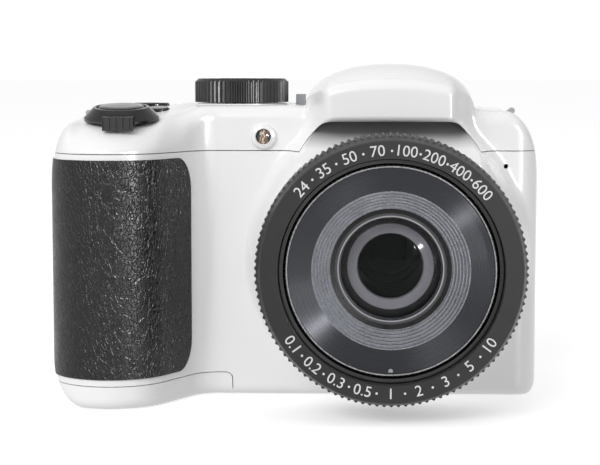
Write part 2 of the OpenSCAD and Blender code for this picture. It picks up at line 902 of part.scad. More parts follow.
module image_sensor() color("navy") {
    slab(-4.2, 4.2, chassis_y - 0.4, chassis_y + chassis_t + 0.5, lens_z - 3.3, lens_z + 3.3);
    slab(-11, 11, chassis_y + chassis_t, chassis_y + chassis_t + 1.2, lens_z - 9, lens_z + 9);
}

module zoom_motor() color("silver")
    translate([-27.5, chassis_y, 9.5])
        rotate([90, 0, 0]) {
            cylinder(r = 5, h = 15);
            cylinder(r = 0.8, h = 19);
        }

module flash_capacitor() color("black")
    translate([27.5, chassis_y, 9.5])
        rotate([90, 0, 0])
            cylinder(r = 5, h = 20);

module strap_lugs() color("silver")
    for (p = lugs)
        at_lug(p) {
            translate([0, 0, lug_leg])
                rotate([90, 0, 90])
                    rotate_extrude(angle = 180)
                        translate([lug_loop, 0])
                            circle(lug_wire, $fn = 24);
            for (s = [-1, 1])
                translate([0, s * lug_loop, -1.4])
                    cylinder(r = lug_wire, h = lug_leg + 1.4);
        }

module lens_tube() color("dimgray")
    along_lens()
        difference() {
            union() {
                translate([0, 0, tube_back])
                    cylinder(r = tube_r, h = tube_front - tube_back, $fn = 96);
                translate([0, 0, tube_back])
                    cylinder(r = flange_r, h = 1.8, $fn = 96);
            }
            translate([0, 0, tube_back - 1])
                cylinder(r = tube_in, h = tube_front - tube_back + 2, $fn = 96);
        }

// Ribbed outline: each rib is a flat with two slopes
function ribs(r, depth, count) = [for (i = [0 : count - 1]) for (k = [0 : 3])
    let (a = 360 * (i + [0, 0.22, 0.5, 0.72][k]) / count, q = k < 2 ? r - depth : r)
    q * [cos(a), sin(a)]];

ring_back = lens_reach - ring_len;
ring_lip = 5;

module front_ring() color("dimgray")
    along_lens()
        difference() {
            union() {
                translate([0, 0, ring_back])
                    cylinder(r = ring_r - 1.6, h = 4);
                translate([0, 0, ring_back + 3])
                    linear_extrude(ring_len - 6)
                        polygon(ribs(ring_r, 0.55, ring_ribs));
                translate([0, 0, lens_reach - 3.2])
                    cylinder(r1 = ring_r - 0.35, r2 = ring_r - 1.2, h = 2.95, $fn = 96);
                translate([0, 0, lens_reach - 0.25])
                    cylinder(r1 = ring_r - 1.2, r2 = ring_r - 1.45, h = 0.25, $fn = 96);
            }
            translate([0, 0, ring_back - 1])
                cylinder(r = tube_r, h = ring_len - ring_lip + 1, $fn = 96);
            cylinder(r = mouth_r, h = lens_reach + 1, $fn = 96);
        }

module dust_seal() color("black")
    along_lens()
        translate([0, 0, tube_front - 2])
            difference() {
                cylinder(r = tube_in, h = 2, $fn = 96);
                translate([0, 0, -1])
                    cylinder(r = mid_r + 0.15, h = 4, $fn = 96);
            }

module middle_barrel() color("black")
    along_lens()
        difference() {
            union() {
                translate([0, 0, mid_back])
                    cylinder(r = mid_r, h = barrel_front - mid_back, $fn = 96);
                translate([0, 0, mid_back])
                    cylinder(r = tube_in - 0.2, h = 2, $fn = 96);
            }
            translate([0, 0, mid_back - 1])
                cylinder(r = mid_in, h = far, $fn = 96);
        }

// Funnel of the front barrel from the rim in to the glass
face = barrel_front - 0.4;
face_out = front_r - 0.5;
face_in = 18.4;
ridge_in = 14.1;
cell_in = 12.3;
ridge_n = 6;
ridge_depth = 3.4;
glass_r = 12.1;
glass_z = face - 5.6;
glass_t = 4.4;
baffle = [8, 10.2];
baffle_z = glass_z - glass_t - 0.8;

function ridge_steps() = [for (i = [0 : ridge_n - 1]) each
    let (dr = (face_in - ridge_in) / ridge_n, dz = ridge_depth / ridge_n)
    let (r = face_in - dr * i, z = face - 0.9 - dz * i)
    [[r, z], [r - 0.45 * dr, z], [r - 0.55 * dr, z - 1.25 * dz], [r - 0.9 * dr, z - 1.25 * dz]]];

module front_barrel() color("dimgray")
    along_lens()
        rotate_extrude($fn = 96)
            polygon(concat(
                [[front_in, front_back], [front_r, front_back], [front_r, face - 0.4], [face_out + 0.1, face],
                    [face_out - 0.2, face], [face_out - 0.4, face - 0.5]],
                ridge_steps(),
                [[ridge_in, face - ridge_depth - 1], [cell_in + 0.8, face - ridge_depth - 1.2],
                    [cell_in + 0.8, glass_z - glass_t], [baffle[1], glass_z - glass_t],
                    [baffle[1], baffle_z - 6], [cell_in + 2, baffle_z - 6],
                    [front_in, baffle_z - 3]]));

module retaining_ring() color("silver")
    along_lens()
        translate([0, 0, glass_z - 1.2])
            difference() {
                cylinder(r = cell_in + 0.8, h = 1.8, $fn = 96);
                translate([0, 0, -1])
                    cylinder(r1 = glass_r - 0.6, r2 = glass_r + 0.3, h = 4, $fn = 96);
            }

// Biconvex lens in section: rim radius, rim thickness and the two surface radii
function sag(r, big) = big - sqrt(big * big - r * r);

module lens(r, rim, front, back) {
    n = 10;
    rise = [for (i = [n : -1 : 0]) [r * i / n, sag(r, front) - sag(r * i / n, front)]];
    drop = [for (i = [0 : n]) [r * i / n, sag(r * i / n, back) - sag(r, back) - rim]];
    rotate_extrude($fn = 72)
        polygon(concat(rise, drop));
}

module front_element() color("lightblue")
    along_lens()
        translate([0, 0, glass_z - 1.6])
            lens(glass_r - 0.6, 1, 34, 60);

module baffle_ring() color("lightgray")
    along_lens()
        translate([0, 0, baffle_z - 0.8])
            difference() {
                cylinder(r = baffle[1], h = 1, $fn = 72);
                translate([0, 0, -1])
                    cylinder(r1 = baffle[0] - 0.6, r2 = baffle[0] + 0.2, h = 3, $fn = 72);
            }

module second_element() color("lightblue")
    along_lens()
        translate([0, 0, baffle_z - 2])
            lens(baffle[1], 1.2, 30, 80);

// Zoom group and focus group on two guide rods
rod = 21;
rod_r = 0.75;
zoom_z = -15;
focus_z = -22.5;

module group_cell(z, h, r, bore)
    along_lens()
        translate([0, 0, z])
            difference() {
                union() {
                    cylinder(r = r, h = h, $fn = 72);
                    translate([-rod, -2, 0])
                        cube([2 * rod, 4, h]);
                    for (s = [-1, 1])
                        translate([s * rod, 0, 0])
                            cylinder(r = 2, h = h, $fn = 32);
                }
                translate([0, 0, -1])
                    cylinder(r = bore, h = h + 2, $fn = 72);
                for (s = [-1, 1])
                    translate([s * rod, 0, -1])
                        cylinder(r = rod_r + 0.08, h = h + 2, $fn = 32);
            }

module guide_rods() color("silver")
    along_lens()
        for (s = [-1, 1])
            translate([s * rod, 0, tube_back])
                cylinder(r = rod_r, h = 29, $fn = 32);

module zoom_cell() color("dimgray") group_cell(zoom_z, 6, 12, 8.5);

module zoom_lens() color("lightblue")
    along_lens()
        translate([0, 0, zoom_z + 4.6])
            lens(8.5, 2, 24, 24);

module focus_cell() color("dimgray") group_cell(focus_z, 3.5, 10, 7);

module focus_lens() color("lightblue")
    along_lens()
        translate([0, 0, focus_z + 2.6])
            lens(7, 1, 26, 40);

module shutter_button() color("black")
    on_slope(shut)
        rotate_extrude()
            polygon([[0, -4.4], [2.2, -4.4], [2.2, -1.2], [shutter_r, -1.2], [shutter_r, 3.2],
                [shutter_r - 0.5, 3.7], [shutter_r - 1.6, 3.85], [0, 3.95]]);

tab = [3.7, lever_r + 2.5, lever_r + 1.3];
tab_x = 0.6;

module zoom_lever() color("black")
    on_slope(shut)
        difference() {
            union() {
                rotate_extrude()
                    polygon([[lever_in, -4], [lever_stem, -4], [lever_stem, 0.4], [lever_r, 0.4],
                        [lever_r, 1.0], [lever_in + 0.7, 3.5], [lever_in, 3.5]]);
                slab(tab_x - tab[0], tab_x + tab[0], -tab[1], -lever_in - 1, 0.4, 2.6);
                slab(tab_x - tab[0], tab_x + tab[0], -tab[1], -tab[2], -0.7, 2.6);
            }
            cylinder(r = lever_in, h = 20, center = true);
            for (i = [-2 : 2])
                slab(tab_x + i * 1.6 - 0.35, tab_x + i * 1.6 + 0.35, -tab[1] - 1, -tab[1] + 0.5, -1, 4);
        }

module mode_dial() color("black")
    translate([dial[0], dial[1], deck_h + dial_boss + gap])
        difference() {
            union() {
                intersection() {
                    linear_extrude(dial_h)
                        polygon(ribs(dial_r, 0.4, dial_ribs));
                    cylinder(r1 = dial_r + dial_h - 0.9, r2 = dial_r - 0.9, h = dial_h);
                }
                translate([0, 0, -5])
                    cylinder(r = dial_shaft, h = 6);
            }
            translate([0, 0, dial_h - 0.35])
                cylinder(r1 = dial_r - 1.9, r2 = dial_r - 1.6, h = 1);
        }

// Round push button with a flange behind the wall, standing up along +Z at the outer face
module push_button(r, proud, stem, dish) {
    difference() {
        union() {
            translate([0, 0, -stem])
                cylinder(r = r, h = stem + proud - 0.3);
            translate([0, 0, proud - 0.3])
                cylinder(r1 = r, r2 = r - 0.3, h = 0.3);
            translate([0, 0, -wall - 1.7])
                cylinder(r = r + 0.8, h = 1.3);
        }
        if (dish > 0)
            translate([0, 0, proud + 3 * r - dish])
                sphere(3 * r, $fn = 72);
    }
}

module power_button() color("black")
    translate([power[0], power[1], deck_h])
        push_button(power_r, 0.9, 3.6, 0.2);

module burst_button() color("black")
    on_slope(burst)
        push_button(burst_r, 0.9, 3.6, 0);

module flash_button() color("gray") {
    slab(flash_key[0], flash_key[1], flash_key[2], flash_key[3], deck_h - 3.2, deck_h + 3.2);
    slab(flash_key[0] - key_flange, flash_key[1], flash_key[2] - key_flange, flash_key[3] + key_flange,
        deck_h - 3.6, deck_h - 2.4);
}

module lamp_bezel() color("white")
    at_lamp()
        rotate_extrude()
            polygon([[lamp_lens_r + fit, -2.6], [lamp_stem, -2.6], [lamp_stem, 0], [lamp_bezel_r, 0],
                [lamp_bezel_r, 0.5], [lamp_bezel_r - 0.4, 1.1], [lamp_lens_r + 0.2, 1.4],
                [lamp_lens_r + fit, 1.2]]);

module lamp_lens() color("orange")
    at_lamp()
        translate([0, 0, 0.4])
            lens(lamp_lens_r, 2.6, 3, 60);

module lcd_window() color("black")
    slab(lcd[0] - lcd_w / 2, lcd[0] + lcd_w / 2, y_rear - lcd_glass, y_rear,
        lcd[1] - lcd_h / 2, lcd[1] + lcd_h / 2);

module lcd_panel() color("gray")
    slab(lcd[0] - lcd_w / 2 + lcd_lip + 0.5, lcd[0] + lcd_w / 2 - lcd_lip - 0.5,
        y_rear - lcd_glass - 3, y_rear - lcd_glass,
        lcd[1] - lcd_h / 2 + lcd_lip + 0.5, lcd[1] + lcd_h / 2 - lcd_lip - 0.5);

module thumb_rest() color("dimgray")
    translate([0, y_rear + 1.2, 0])
        rotate([90, 0, 0])
            linear_extrude(1.2)
                polygon([for (c = [[10, 46, 180], [22, 46, 270], [27, 57, 0], [10, 57, 90]])
                    for (i = [0 : 4])
                        [x_left + c[0], c[1]] + 3 * [cos(c[2] + 22.5 * i), sin(c[2] + 22.5 * i)]]);

module record_button() color("red") at_rear(record) push_button(button_r, 0.8, 4, 0.25);
module menu_button() color("gray") at_rear(keys[0]) push_button(button_r, 0.8, 4, 0);
module delete_button() color("gray") at_rear(keys[1]) push_button(button_r, 0.8, 4, 0);
module play_button() color("gray") at_rear(keys[2]) push_button(button_r, 0.8, 4, 0);

module navigation_ring() color("gray")
    at_rear(pad)
        rotate_extrude()
            polygon([[pad_in, -4], [pad_r + 1.2, -4], [pad_r + 1.2, -wall - 0.8], [pad_r, -wall - 0.8],
                [pad_r, 0.7], [pad_r - 0.5, 1.1], [pad_in + 1, 0.6], [pad_in, 0.4]]);

module set_button() color("gray")
    at_rear(pad)
        rotate_extrude()
            polygon([[0, -4.6], [set_r, -4.6], [set_r, 0.3], [set_r - 0.4, 0.6], [0, 0.7]]);

module port_cover() color("white")
    difference() {
        union() {
            slab(x_right - 1.2, x_right, port[0], port_pin[1], port[2], port[3]);
            translate([port_pin[0], port_pin[1], port[2]])
                cylinder(r = knuckle_r - 0.2, h = port[3] - port[2], $fn = 32);
        }
        translate([port_pin[0], port_pin[1], 0])
            cylinder(r = port_pin_r + 0.06, h = far, $fn = 32);
    }

module port_hinge_pin() color("silver")
    translate([port_pin[0], port_pin[1], port[2] - 1.4])
        cylinder(r = port_pin_r, h = port[3] - port[2] + 2.8, $fn = 32);

port_board_x = flange_r + 0.4;
socket_end = x_right - 1.5;
port_mid = (port[0] + port[1]) / 2;

module side_socket(z0, h, w)
    difference() {
        slab(port_board_x + 1, socket_end, port_mid - w / 2, port_mid + w / 2, z0, z0 + h);
        slab(port_board_x + 2, far, port_mid - w / 2 + 0.4, port_mid + w / 2 - 0.4, z0 + 0.4, z0 + h - 0.4);
    }

module side_sockets() color("silver") {
    side_socket(port[2] + 13, 8, 3);
    side_socket(port[2] + 2.5, 7, 3.4);
}

front_cover();
top_cover();
rear_cover();
grip_rubber();
thumb_rest();
chassis();
lens_tube();
front_ring();
dust_seal();
lamp_bezel();
lamp_lens();
strap_lugs();
tripod_socket();
base_screws();
lcd_window();
lcd_panel();
main_board();
image_sensor();
zoom_motor();
flash_capacitor();
guide_rods();
battery_box();
battery_cells();
card_slot();
memory_card();
door_pin();
flash_pin();
port_hinge_pin();
side_sockets();
middle_barrel();
front_barrel();
retaining_ring();
front_element();
baffle_ring();
second_element();
zoom_cell();
zoom_lens();
focus_cell();
focus_lens();
shutter_button();
zoom_lever();
mode_dial();
power_button();
burst_button();
flash_button();
flash_lid();
flash_head();
flash_window();
reflector();
battery_door();
battery_latch();
door_contacts();
port_cover();
record_button();
menu_button();
delete_button();
play_button();
navigation_ring();
set_button();
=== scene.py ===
import json
import math

import bmesh
import bpy
import numpy as np
from mathutils import Matrix, Vector


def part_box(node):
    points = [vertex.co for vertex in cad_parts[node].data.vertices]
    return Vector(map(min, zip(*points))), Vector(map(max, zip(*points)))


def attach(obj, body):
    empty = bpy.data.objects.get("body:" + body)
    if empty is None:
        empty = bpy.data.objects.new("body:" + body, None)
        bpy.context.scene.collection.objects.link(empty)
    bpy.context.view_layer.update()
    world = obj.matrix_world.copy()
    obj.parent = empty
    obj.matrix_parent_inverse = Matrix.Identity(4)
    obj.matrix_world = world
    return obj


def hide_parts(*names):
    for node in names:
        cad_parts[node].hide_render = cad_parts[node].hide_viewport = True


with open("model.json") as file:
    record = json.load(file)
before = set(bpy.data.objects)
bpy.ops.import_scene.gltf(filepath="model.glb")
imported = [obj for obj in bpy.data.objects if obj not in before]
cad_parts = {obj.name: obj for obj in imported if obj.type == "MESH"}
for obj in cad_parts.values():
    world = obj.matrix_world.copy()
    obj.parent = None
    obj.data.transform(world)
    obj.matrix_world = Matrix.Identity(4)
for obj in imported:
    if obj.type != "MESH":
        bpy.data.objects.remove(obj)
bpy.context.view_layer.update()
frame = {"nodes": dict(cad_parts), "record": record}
nodes = frame["nodes"]
scene = bpy.context.scene

MM = 0.001
STEP = 0.6    # spacing of the moulded skin in millimetres
FAR = 150.0

# Housing in millimetres: lens axis at X = 0, front towards -Y, base on Z = 0
X_LEFT, X_RIGHT = -82.5, 37.1
Y_FRONT, Y_REAR, Y_SPLIT = -20.0, 25.0, 14.0
DECK, SEAM, WALL = 72.0, 61.5, 1.8
NOSE_R, NOSE_FWD, FLANK_R = 14.7, 7.3, 8.0
GRIP_W = 40.4
NOSE_X, FLANK_X = X_LEFT + NOSE_R, X_LEFT + GRIP_W
HUMP_W, HUMP_H, HUMP_FULL, BROW, BROW_Z = 42.0, 11.1, 2.2, 12.0, 69.0
LENS_Z, BULGE_R, COLLAR_R = 35.4, 36.6, 32.4
LEFT_TOP, LEFT_LOW, LEFT_BACK = (10.3, 11.6), (9, 11), (7, 6)
RIGHT_TOP, RIGHT_LOW, RIGHT_FRONT, RIGHT_BACK = (9, 16), (3, 3), (6, 7), (6, 5)
EDGE_FRONT, EDGE_GRIP, EDGE_BROW, EDGE_BACK, EDGE_LOW = 3.5, 9.0, 1.6, 4.0, 2.4
PUSH_END, RISE_FROM, SLOPE_FROM = Y_REAR - 16, SEAM - 4, Y_FRONT + 17
SLOPE, SLOPE_SOFT = math.radians(7), 5.0
TOP_SLOPE = math.tan(SLOPE)
CORNER_FULL, CORNER_X, CORNER_RUN = 0.65, -74.5, 5.0
CROWN, CROWN_X, CROWN_RUN = 0.75, (-60.0, -17.0), (8.0, 9.0)
FALL, FALL_X, FALL_RUN = 0.6, 18.0, 9.0
BULGE_SOFT, BULGE_BLEND = 7.0, 6.0
FLARE, FLARE_RUN, NECK_LOW = 6.0, 14.0, 8.0
BROW_SHARE, CREST, TAIL = 0.56, 0.25, 0.9
COLLAR_Y, FLOOR_Y = -21.8, -22.0
SLIT = 0.1                            # half of a parting line


def ease(t):
    c = np.clip(t, 0.0, 1.0)
    return c ** 3 * (c * (6 * c - 15) + 10)


def soft_min(a, b, k):
    h = np.maximum(k - np.abs(a - b), 0) / k
    return np.minimum(a, b) - h * h * k / 4


def soft_max(a, b, k):
    return -soft_min(-a, -b, k)


def mix(a, b, t):
    return a + (b - a) * t


def side_in(t):
    """Inset of the hump's sides and of the bulge, on a skin inset by t."""
    return 0.6 * t if t < 0.8 else 1.5 * t


def corner(d, size, t):
    run, drop = max(size[0] - t, 0.4), max(size[1] - t, 0.4)
    u = np.clip(1 - d / run, 0, 1)
    return drop * (1 - np.sqrt(1 - u * u))


def grip_reach(x, t):
    """How far the grip stands ahead of the front plane, on a skin inset by t."""
    r, rf, up = NOSE_R - t, FLANK_R + t, NOSE_FWD + t
    a, b = FLANK_X - NOSE_X, rf - up
    slant = math.atan2(a, b) - math.acos((r + rf) / math.hypot(a, b))
    x1, x2 = NOSE_X + r * math.sin(slant), FLANK_X - rf * math.sin(slant)
    nose = up + np.sqrt(np.maximum(0, r * r - (x - NOSE_X) ** 2))
    flank = rf - rf * math.cos(slant) + (x2 - x) * math.tan(slant)
    hollow = rf - np.sqrt(np.maximum(0, rf * rf - (FLANK_X - x) ** 2))
    return np.where(x <= x1, nose, np.where(x <= x2, flank, np.where(x <= FLANK_X, hollow, 0)))


def front_part(x, z, t):
    """Share of the brow and of the bulge round the lens at a point of the front."""
    flare = FLARE * ease((BROW_Z - z) / FLARE_RUN)
    neck = np.maximum(np.abs(x) - (HUMP_W / 2 - side_in(t)) - flare, LENS_Z + NECK_LOW - z)
    bulge = np.hypot(x, z - LENS_Z) - (BULGE_R - side_in(t))
    return 1 - ease((soft_min(bulge, neck, BULGE_BLEND) + BULGE_SOFT) / BULGE_SOFT)


def hump_rise(x, v, t):
    a = np.abs(x) / (HUMP_W / 2 - side_in(t))
    arch = np.where(a < 1, np.maximum(0, 1 - np.minimum(a, 1) ** HUMP_FULL) ** (1 / HUMP_FULL), (1 - a) * 4)
    back = np.cos(np.pi / 2 * np.clip((v - CREST) / (TAIL - CREST), 0, 1))
    front = mix(BROW_SHARE, 1, np.sin(np.pi / 2 * np.minimum(v / CREST, 1)))
    return HUMP_H * soft_max(arch, 0.0, 0.2) * np.where(v < CREST, front, back ** 2)


def grip_mask(x):
    """1 on the grip and 0 beyond its flank."""
    return ease((FLANK_X - 2 - x) / 10)


def corner_share(x):
    """The slope of the grip top runs out towards its outer corner."""
    return 1 - CORNER_FULL * ease((CORNER_X - x) / CORNER_RUN)


def deck_crown(x):
    """The deck stands a little fuller round the dial and falls away on the other shoulder."""
    crown = CROWN * ease((x - CROWN_X[0]) / CROWN_RUN[0]) * ease((CROWN_X[1] - x) / CROWN_RUN[1])
    return crown - FALL * ease((x - FALL_X) / FALL_RUN)


def front_edge(x):
    hump = ease((HUMP_W / 2 + 1 - np.abs(x)) / 5)
    return mix(mix(EDGE_FRONT, EDGE_GRIP, grip_mask(x)), EDGE_BROW, hump)


def moulded(x, y, z, t, y0):
    """A point of the plain section moved to the moulded form."""
    w = ease((PUSH_END - y) / (PUSH_END - y0))
    y1 = y - grip_reach(x, t) * w
    lift = ease((z - RISE_FROM) / (DECK - RISE_FROM))
    v = np.clip((y - Y_FRONT) / (Y_REAR - Y_FRONT), 0, 1)
    dip = TOP_SLOPE * soft_max(SLOPE_FROM - y1, 0.0, SLOPE_SOFT) * grip_mask(x) * corner_share(x)
    z1 = z + (hump_rise(x, v, t) + deck_crown(x) - dip) * lift
    return y1 - BROW * front_part(x, z1, t) * w, z1


def front_y(x, z):
    """Outer front face of the housing at a point of the front view."""
    y0 = Y_FRONT + corner(X_RIGHT - x, RIGHT_FRONT, 0)
    return y0 - grip_reach(x, 0) - BROW * front_part(x, z, 0)


# Solids for cutting, in millimetres
scratch = []


def solid(name, verts, faces):
    mesh = bpy.data.meshes.new(name)
    mesh.from_pydata([tuple(map(float, v)) for v in verts], [], faces)
    form = bmesh.new()
    form.from_mesh(mesh)
    bmesh.ops.recalc_face_normals(form, faces=form.faces)
    form.to_mesh(mesh)
    form.free()
    obj = bpy.data.objects.new(name, mesh)
    scene.collection.objects.link(obj)
    scratch.append(obj)
    return obj


def copied(obj, name):
    twin = bpy.data.objects.new(name, obj.data.copy())
    scene.collection.objects.link(twin)
    scratch.append(twin)
    return twin


def combine(body, operation, *tools):
    for tool in tools:
        modifier = body.modifiers.new("cut", "BOOLEAN")
        modifier.operation, modifier.solver, modifier.object = operation, "MANIFOLD", tool
        graph = bpy.context.evaluated_depsgraph_get()
        mesh = bpy.data.meshes.new_from_object(body.evaluated_get(graph))
        body.modifiers.clear()
        old, body.data = body.data, mesh
        bpy.data.meshes.remove(old)
    return body


def less(body, *tools):
    return combine(body, "DIFFERENCE", *tools)


def within(body, *tools):
    return combine(body, "INTERSECT", *tools)


def plus(body, *tools):
    return combine(body, "UNION", *tools)


def loft(name, rings):
    """Closed solid through rings of points, with flat ends."""
    m, n = len(rings), len(rings[0])
    faces = [(i * n + j, i * n + (j + 1) % n, (i + 1) * n + (j + 1) % n, (i + 1) * n + j)
             for i in range(m - 1) for j in range(n)]
    faces += [tuple(range(n)), tuple(range((m - 1) * n, m * n))]
    return solid(name, [p for ring in rings for p in ring], faces)


def prism_y(name, outline, y0, y1):
    return loft(name, [[(x, y, z) for x, z in outline] for y in (y0, y1)])


def prism_z(name, outline, z0, z1):
    return loft(name, [[(x, y, z) for x, y in outline] for z in (z0, z1)])


def block(x0, x1, y0, y1, z0, z1):
    return prism_z("block", [(x0, y0), (x1, y0), (x1, y1), (x0, y1)], z0, z1)


def frame_to(axis):
    """Rotation that takes +Z to axis."""
    return Vector((0, 0, 1)).rotation_difference(Vector(axis)).to_matrix()


def rod(start, end, r, n=64):
    turn = frame_to(Vector(end) - Vector(start))
    ring = [turn @ Vector((r * math.cos(a), r * math.sin(a), 0))
            for a in np.linspace(0, 2 * math.pi, n, endpoint=False)]
    return loft("rod", [[Vector(c) + p for p in ring] for c in (start, end)])


def rounded(x0, x1, z0, z1, r, n=10):
    points = []
    centres = ((x1 - r, z1 - r), (x0 + r, z1 - r), (x0 + r, z0 + r), (x1 - r, z0 + r))
    for quarter, (cx, cz) in enumerate(centres):
        for i in range(n + 1):
            a = math.radians(90 * quarter + 90 * i / n)
            points.append((cx + r * math.cos(a), cz + r * math.sin(a)))
    return points


def spaced(a, b, step, kind="even"):
    n = max(2, math.ceil(abs(b - a) / step))
    u = np.arange(n) / n
    if kind == "swell":
        u = 1 - np.cos(u * np.pi / 2)
    elif kind == "taper":
        u = np.sin(u * np.pi / 2)
    return a + (b - a) * u


# Stretches of the housing's width, and rough lengths round its section, which set how finely each is divided
NOSE_RUN, HUMP_RUN, RIGHT_RUN = 6.0, 5.0, 9.5
SPANS = {"front": 64, "front_edge": 7, "top": 40, "back_edge": 5, "back": 30, "low_edge": 3, "base": 20}


def skin(name, t, step):
    """Closed solid with the outer form of the housing, inset by t."""
    hw = HUMP_W / 2 - side_in(t)
    left, nose, right = X_LEFT + LEFT_TOP[0], NOSE_X + NOSE_RUN, X_RIGHT - RIGHT_RUN
    x = np.concatenate([
        spaced(X_LEFT + t, left, step / 2, "swell"), spaced(left, nose, step), spaced(nose, FLANK_X, step),
        spaced(FLANK_X, -hw - HUMP_RUN, step), spaced(-hw - HUMP_RUN, -hw, step),
        spaced(-hw, 0, step / 1.4, "swell"), spaced(0, hw, step / 1.4, "taper"),
        spaced(hw, hw + HUMP_RUN, step), spaced(hw + HUMP_RUN, right, step),
        spaced(right, X_RIGHT - t, step / 2, "taper"), [X_RIGHT - t]])
    dl, dr = x - X_LEFT - t, X_RIGHT - t - x
    y0 = Y_FRONT + t + corner(dr, RIGHT_FRONT, t)
    y1 = Y_REAR - t - corner(dl, LEFT_BACK, t) - corner(dr, RIGHT_BACK, t)
    z0 = t + corner(dl, LEFT_LOW, t) + corner(dr, RIGHT_LOW, t)
    z1 = DECK - t - corner(dl, LEFT_TOP, t) - corner(dr, RIGHT_TOP, t)
    rf = np.maximum(front_edge(x) - t, 0.5)
    rb, rl = max(EDGE_BACK - t, 0.5), max(EDGE_LOW - t, 0.5)
    columns = []

    def line(ya, za, yb, zb, length):
        n = max(2, round(length / step))
        columns.extend((mix(ya, yb, i / n), mix(za, zb, i / n)) for i in range(1, n))

    def arc(cy, cz, r, start, length):
        n = max(3, round(length / step))
        for i in range(n + 1):
            a = math.radians(start - 90 * i / n)
            columns.append((cy + r * math.cos(a), cz + r * math.sin(a)))

    line(y0, z0 + rl, y0, z1 - rf, SPANS["front"])
    arc(y0 + rf, z1 - rf, rf, 180, SPANS["front_edge"])
    line(y0 + rf, z1, y1 - rb, z1, SPANS["top"])
    arc(y1 - rb, z1 - rb, rb, 90, SPANS["back_edge"])
    line(y1, z1 - rb, y1, z0 + rl, SPANS["back"])
    arc(y1 - rl, z0 + rl, rl, 0, SPANS["low_edge"])
    line(y1 - rl, z0, y0 + rl, z0, SPANS["base"])
    arc(y0 + rl, z0 + rl, rl, -90, SPANS["low_edge"])
    grid_x = np.repeat(x[:, None], len(columns), 1)
    grid_y = np.stack([np.broadcast_to(c[0], x.shape) for c in columns], 1)
    grid_z = np.stack([np.broadcast_to(c[1], x.shape) for c in columns], 1)
    grid_y, grid_z = moulded(grid_x, grid_y, grid_z, t, y0[:, None])
    m, n = grid_x.shape
    points = np.stack([grid_x, grid_y, grid_z], 2)
    verts = np.concatenate([points.reshape(-1, 3), points[0].mean(0)[None], points[-1].mean(0)[None]])
    j = np.arange(n)
    k = (j + 1) % n
    faces = [q for i in range(m - 1)
             for q in zip(i * n + j, (i + 1) * n + j, (i + 1) * n + k, i * n + k)]
    faces += list(zip([m * n] * n, j, k)) + list(zip([m * n + 1] * n, (m - 1) * n + k, (m - 1) * n + j))
    return solid(name, verts, [tuple(map(int, f)) for f in faces])


# Opening under the brow with the round recess of the lens barrel
COLLAR_SIDE = [(24.5, 15.0), (22.5, SEAM - LENS_Z), (18.3, BROW_Z - 1.7 - LENS_Z), (16.0, BROW_Z - LENS_Z),
               (0.0, BROW_Z - LENS_Z)]
COLLAR_LIMIT, COLLAR_SOFT, BULGE_JOIN = 90.0, 1.2, 0.8
COLLAR_EDGE, BROW_EDGE, BROW_SINE, BROW_SINE_RUN = 0.12, 1.3, 0.86, 0.09
RECESS_FOOT, RECESS_PAST = (Y_FRONT - BROW - 1, SEAM - 4), 1.6


def collar_radius(angle):
    c, s = np.abs(np.cos(angle)), np.sin(angle)
    reach = np.full_like(angle, COLLAR_LIMIT)
    for (xa, za), (xb, zb) in zip(COLLAR_SIDE, COLLAR_SIDE[1:]):
        nx, nz = zb - za, xa - xb
        along = np.maximum(nx * c + nz * s, 1e-3)
        reach = soft_min(reach, np.minimum((nx * xa + nz * za) / along, COLLAR_LIMIT), COLLAR_SOFT)
    return soft_max(np.where(s > 0.3, reach, 0.0), np.full_like(angle, COLLAR_R), BULGE_JOIN)


ANGLES = np.linspace(0, 2 * np.pi, 300, endpoint=False)


def collar_ring(radius, y):
    x, z = radius * np.cos(ANGLES), LENS_Z + radius * np.sin(ANGLES)
    return list(zip(x, np.broadcast_to(y, x.shape), z))


def collar_prism(grow, y0, y1):
    radius = collar_radius(ANGLES) + grow
    return loft("collar", [collar_ring(radius, y) for y in (y0, y1)])


def collar_opening(grow, floor):
    """Opening whose front edge is rounded into the brow and the bulge."""
    radius = collar_radius(ANGLES) + grow
    edge = COLLAR_EDGE + BROW_EDGE * ease((np.sin(ANGLES) - BROW_SINE) / BROW_SINE_RUN)
    rings = [collar_ring(radius, floor)]
    for a in np.radians(np.linspace(0, 84, 8)):
        r = radius + edge * (1 - np.cos(a))
        surface = front_y(r * np.cos(ANGLES), LENS_Z + r * np.sin(ANGLES))
        rings.append(collar_ring(r, surface + edge * (1 - np.sin(a))))
    rings.append(collar_ring(radius + edge * 1.02, -FAR))
    return loft("opening", rings)


def under_brow(back):
    """Space ahead of the slope that runs back from the face of the bulge to the root of the brow."""
    (ya, za), (yb, zb) = RECESS_FOOT, (COLLAR_Y, BROW_Z)
    yc, zc = ya + RECESS_PAST * (yb - ya), za + RECESS_PAST * (zb - za)
    side = [(-FAR, za), (ya + back, za), (yc + back, zc), (-FAR, zc)]
    return loft("slope", [[(x, y, z) for y, z in side] for x in (-FAR, FAR)])


# Lid of the flash: the top of the hump, hinged at its back
LID_Z, LID_Y, LID_AXIS_Z, LID_BACK = DECK + 0.8, 10.5, DECK + 1.3, 2.2
KNUCKLE, LID_PIN, LID_PIN_END, LID_SWEEP, ARM = 1.3, 0.7, 13.0, 3.99, (3.0, 9.0)
PIN_FIT, PIN_RUN = 0.01, 0.06
HUMP_OVER = DECK + 40


def lid_plan(inset):
    hw = HUMP_W / 2 + 1
    x = np.linspace(-hw, hw, 57)
    y = Y_FRONT + WALL + inset - BROW * front_part(x, LID_Z + 3, WALL)
    return list(zip(x, y)) + [(hw, LID_Y - LID_BACK), (-hw, LID_Y - LID_BACK)]


def lid_rod(x0, x1, r, n=48):
    return rod((x0, LID_Y, LID_AXIS_Z), (x1, LID_Y, LID_AXIS_Z), r, n)


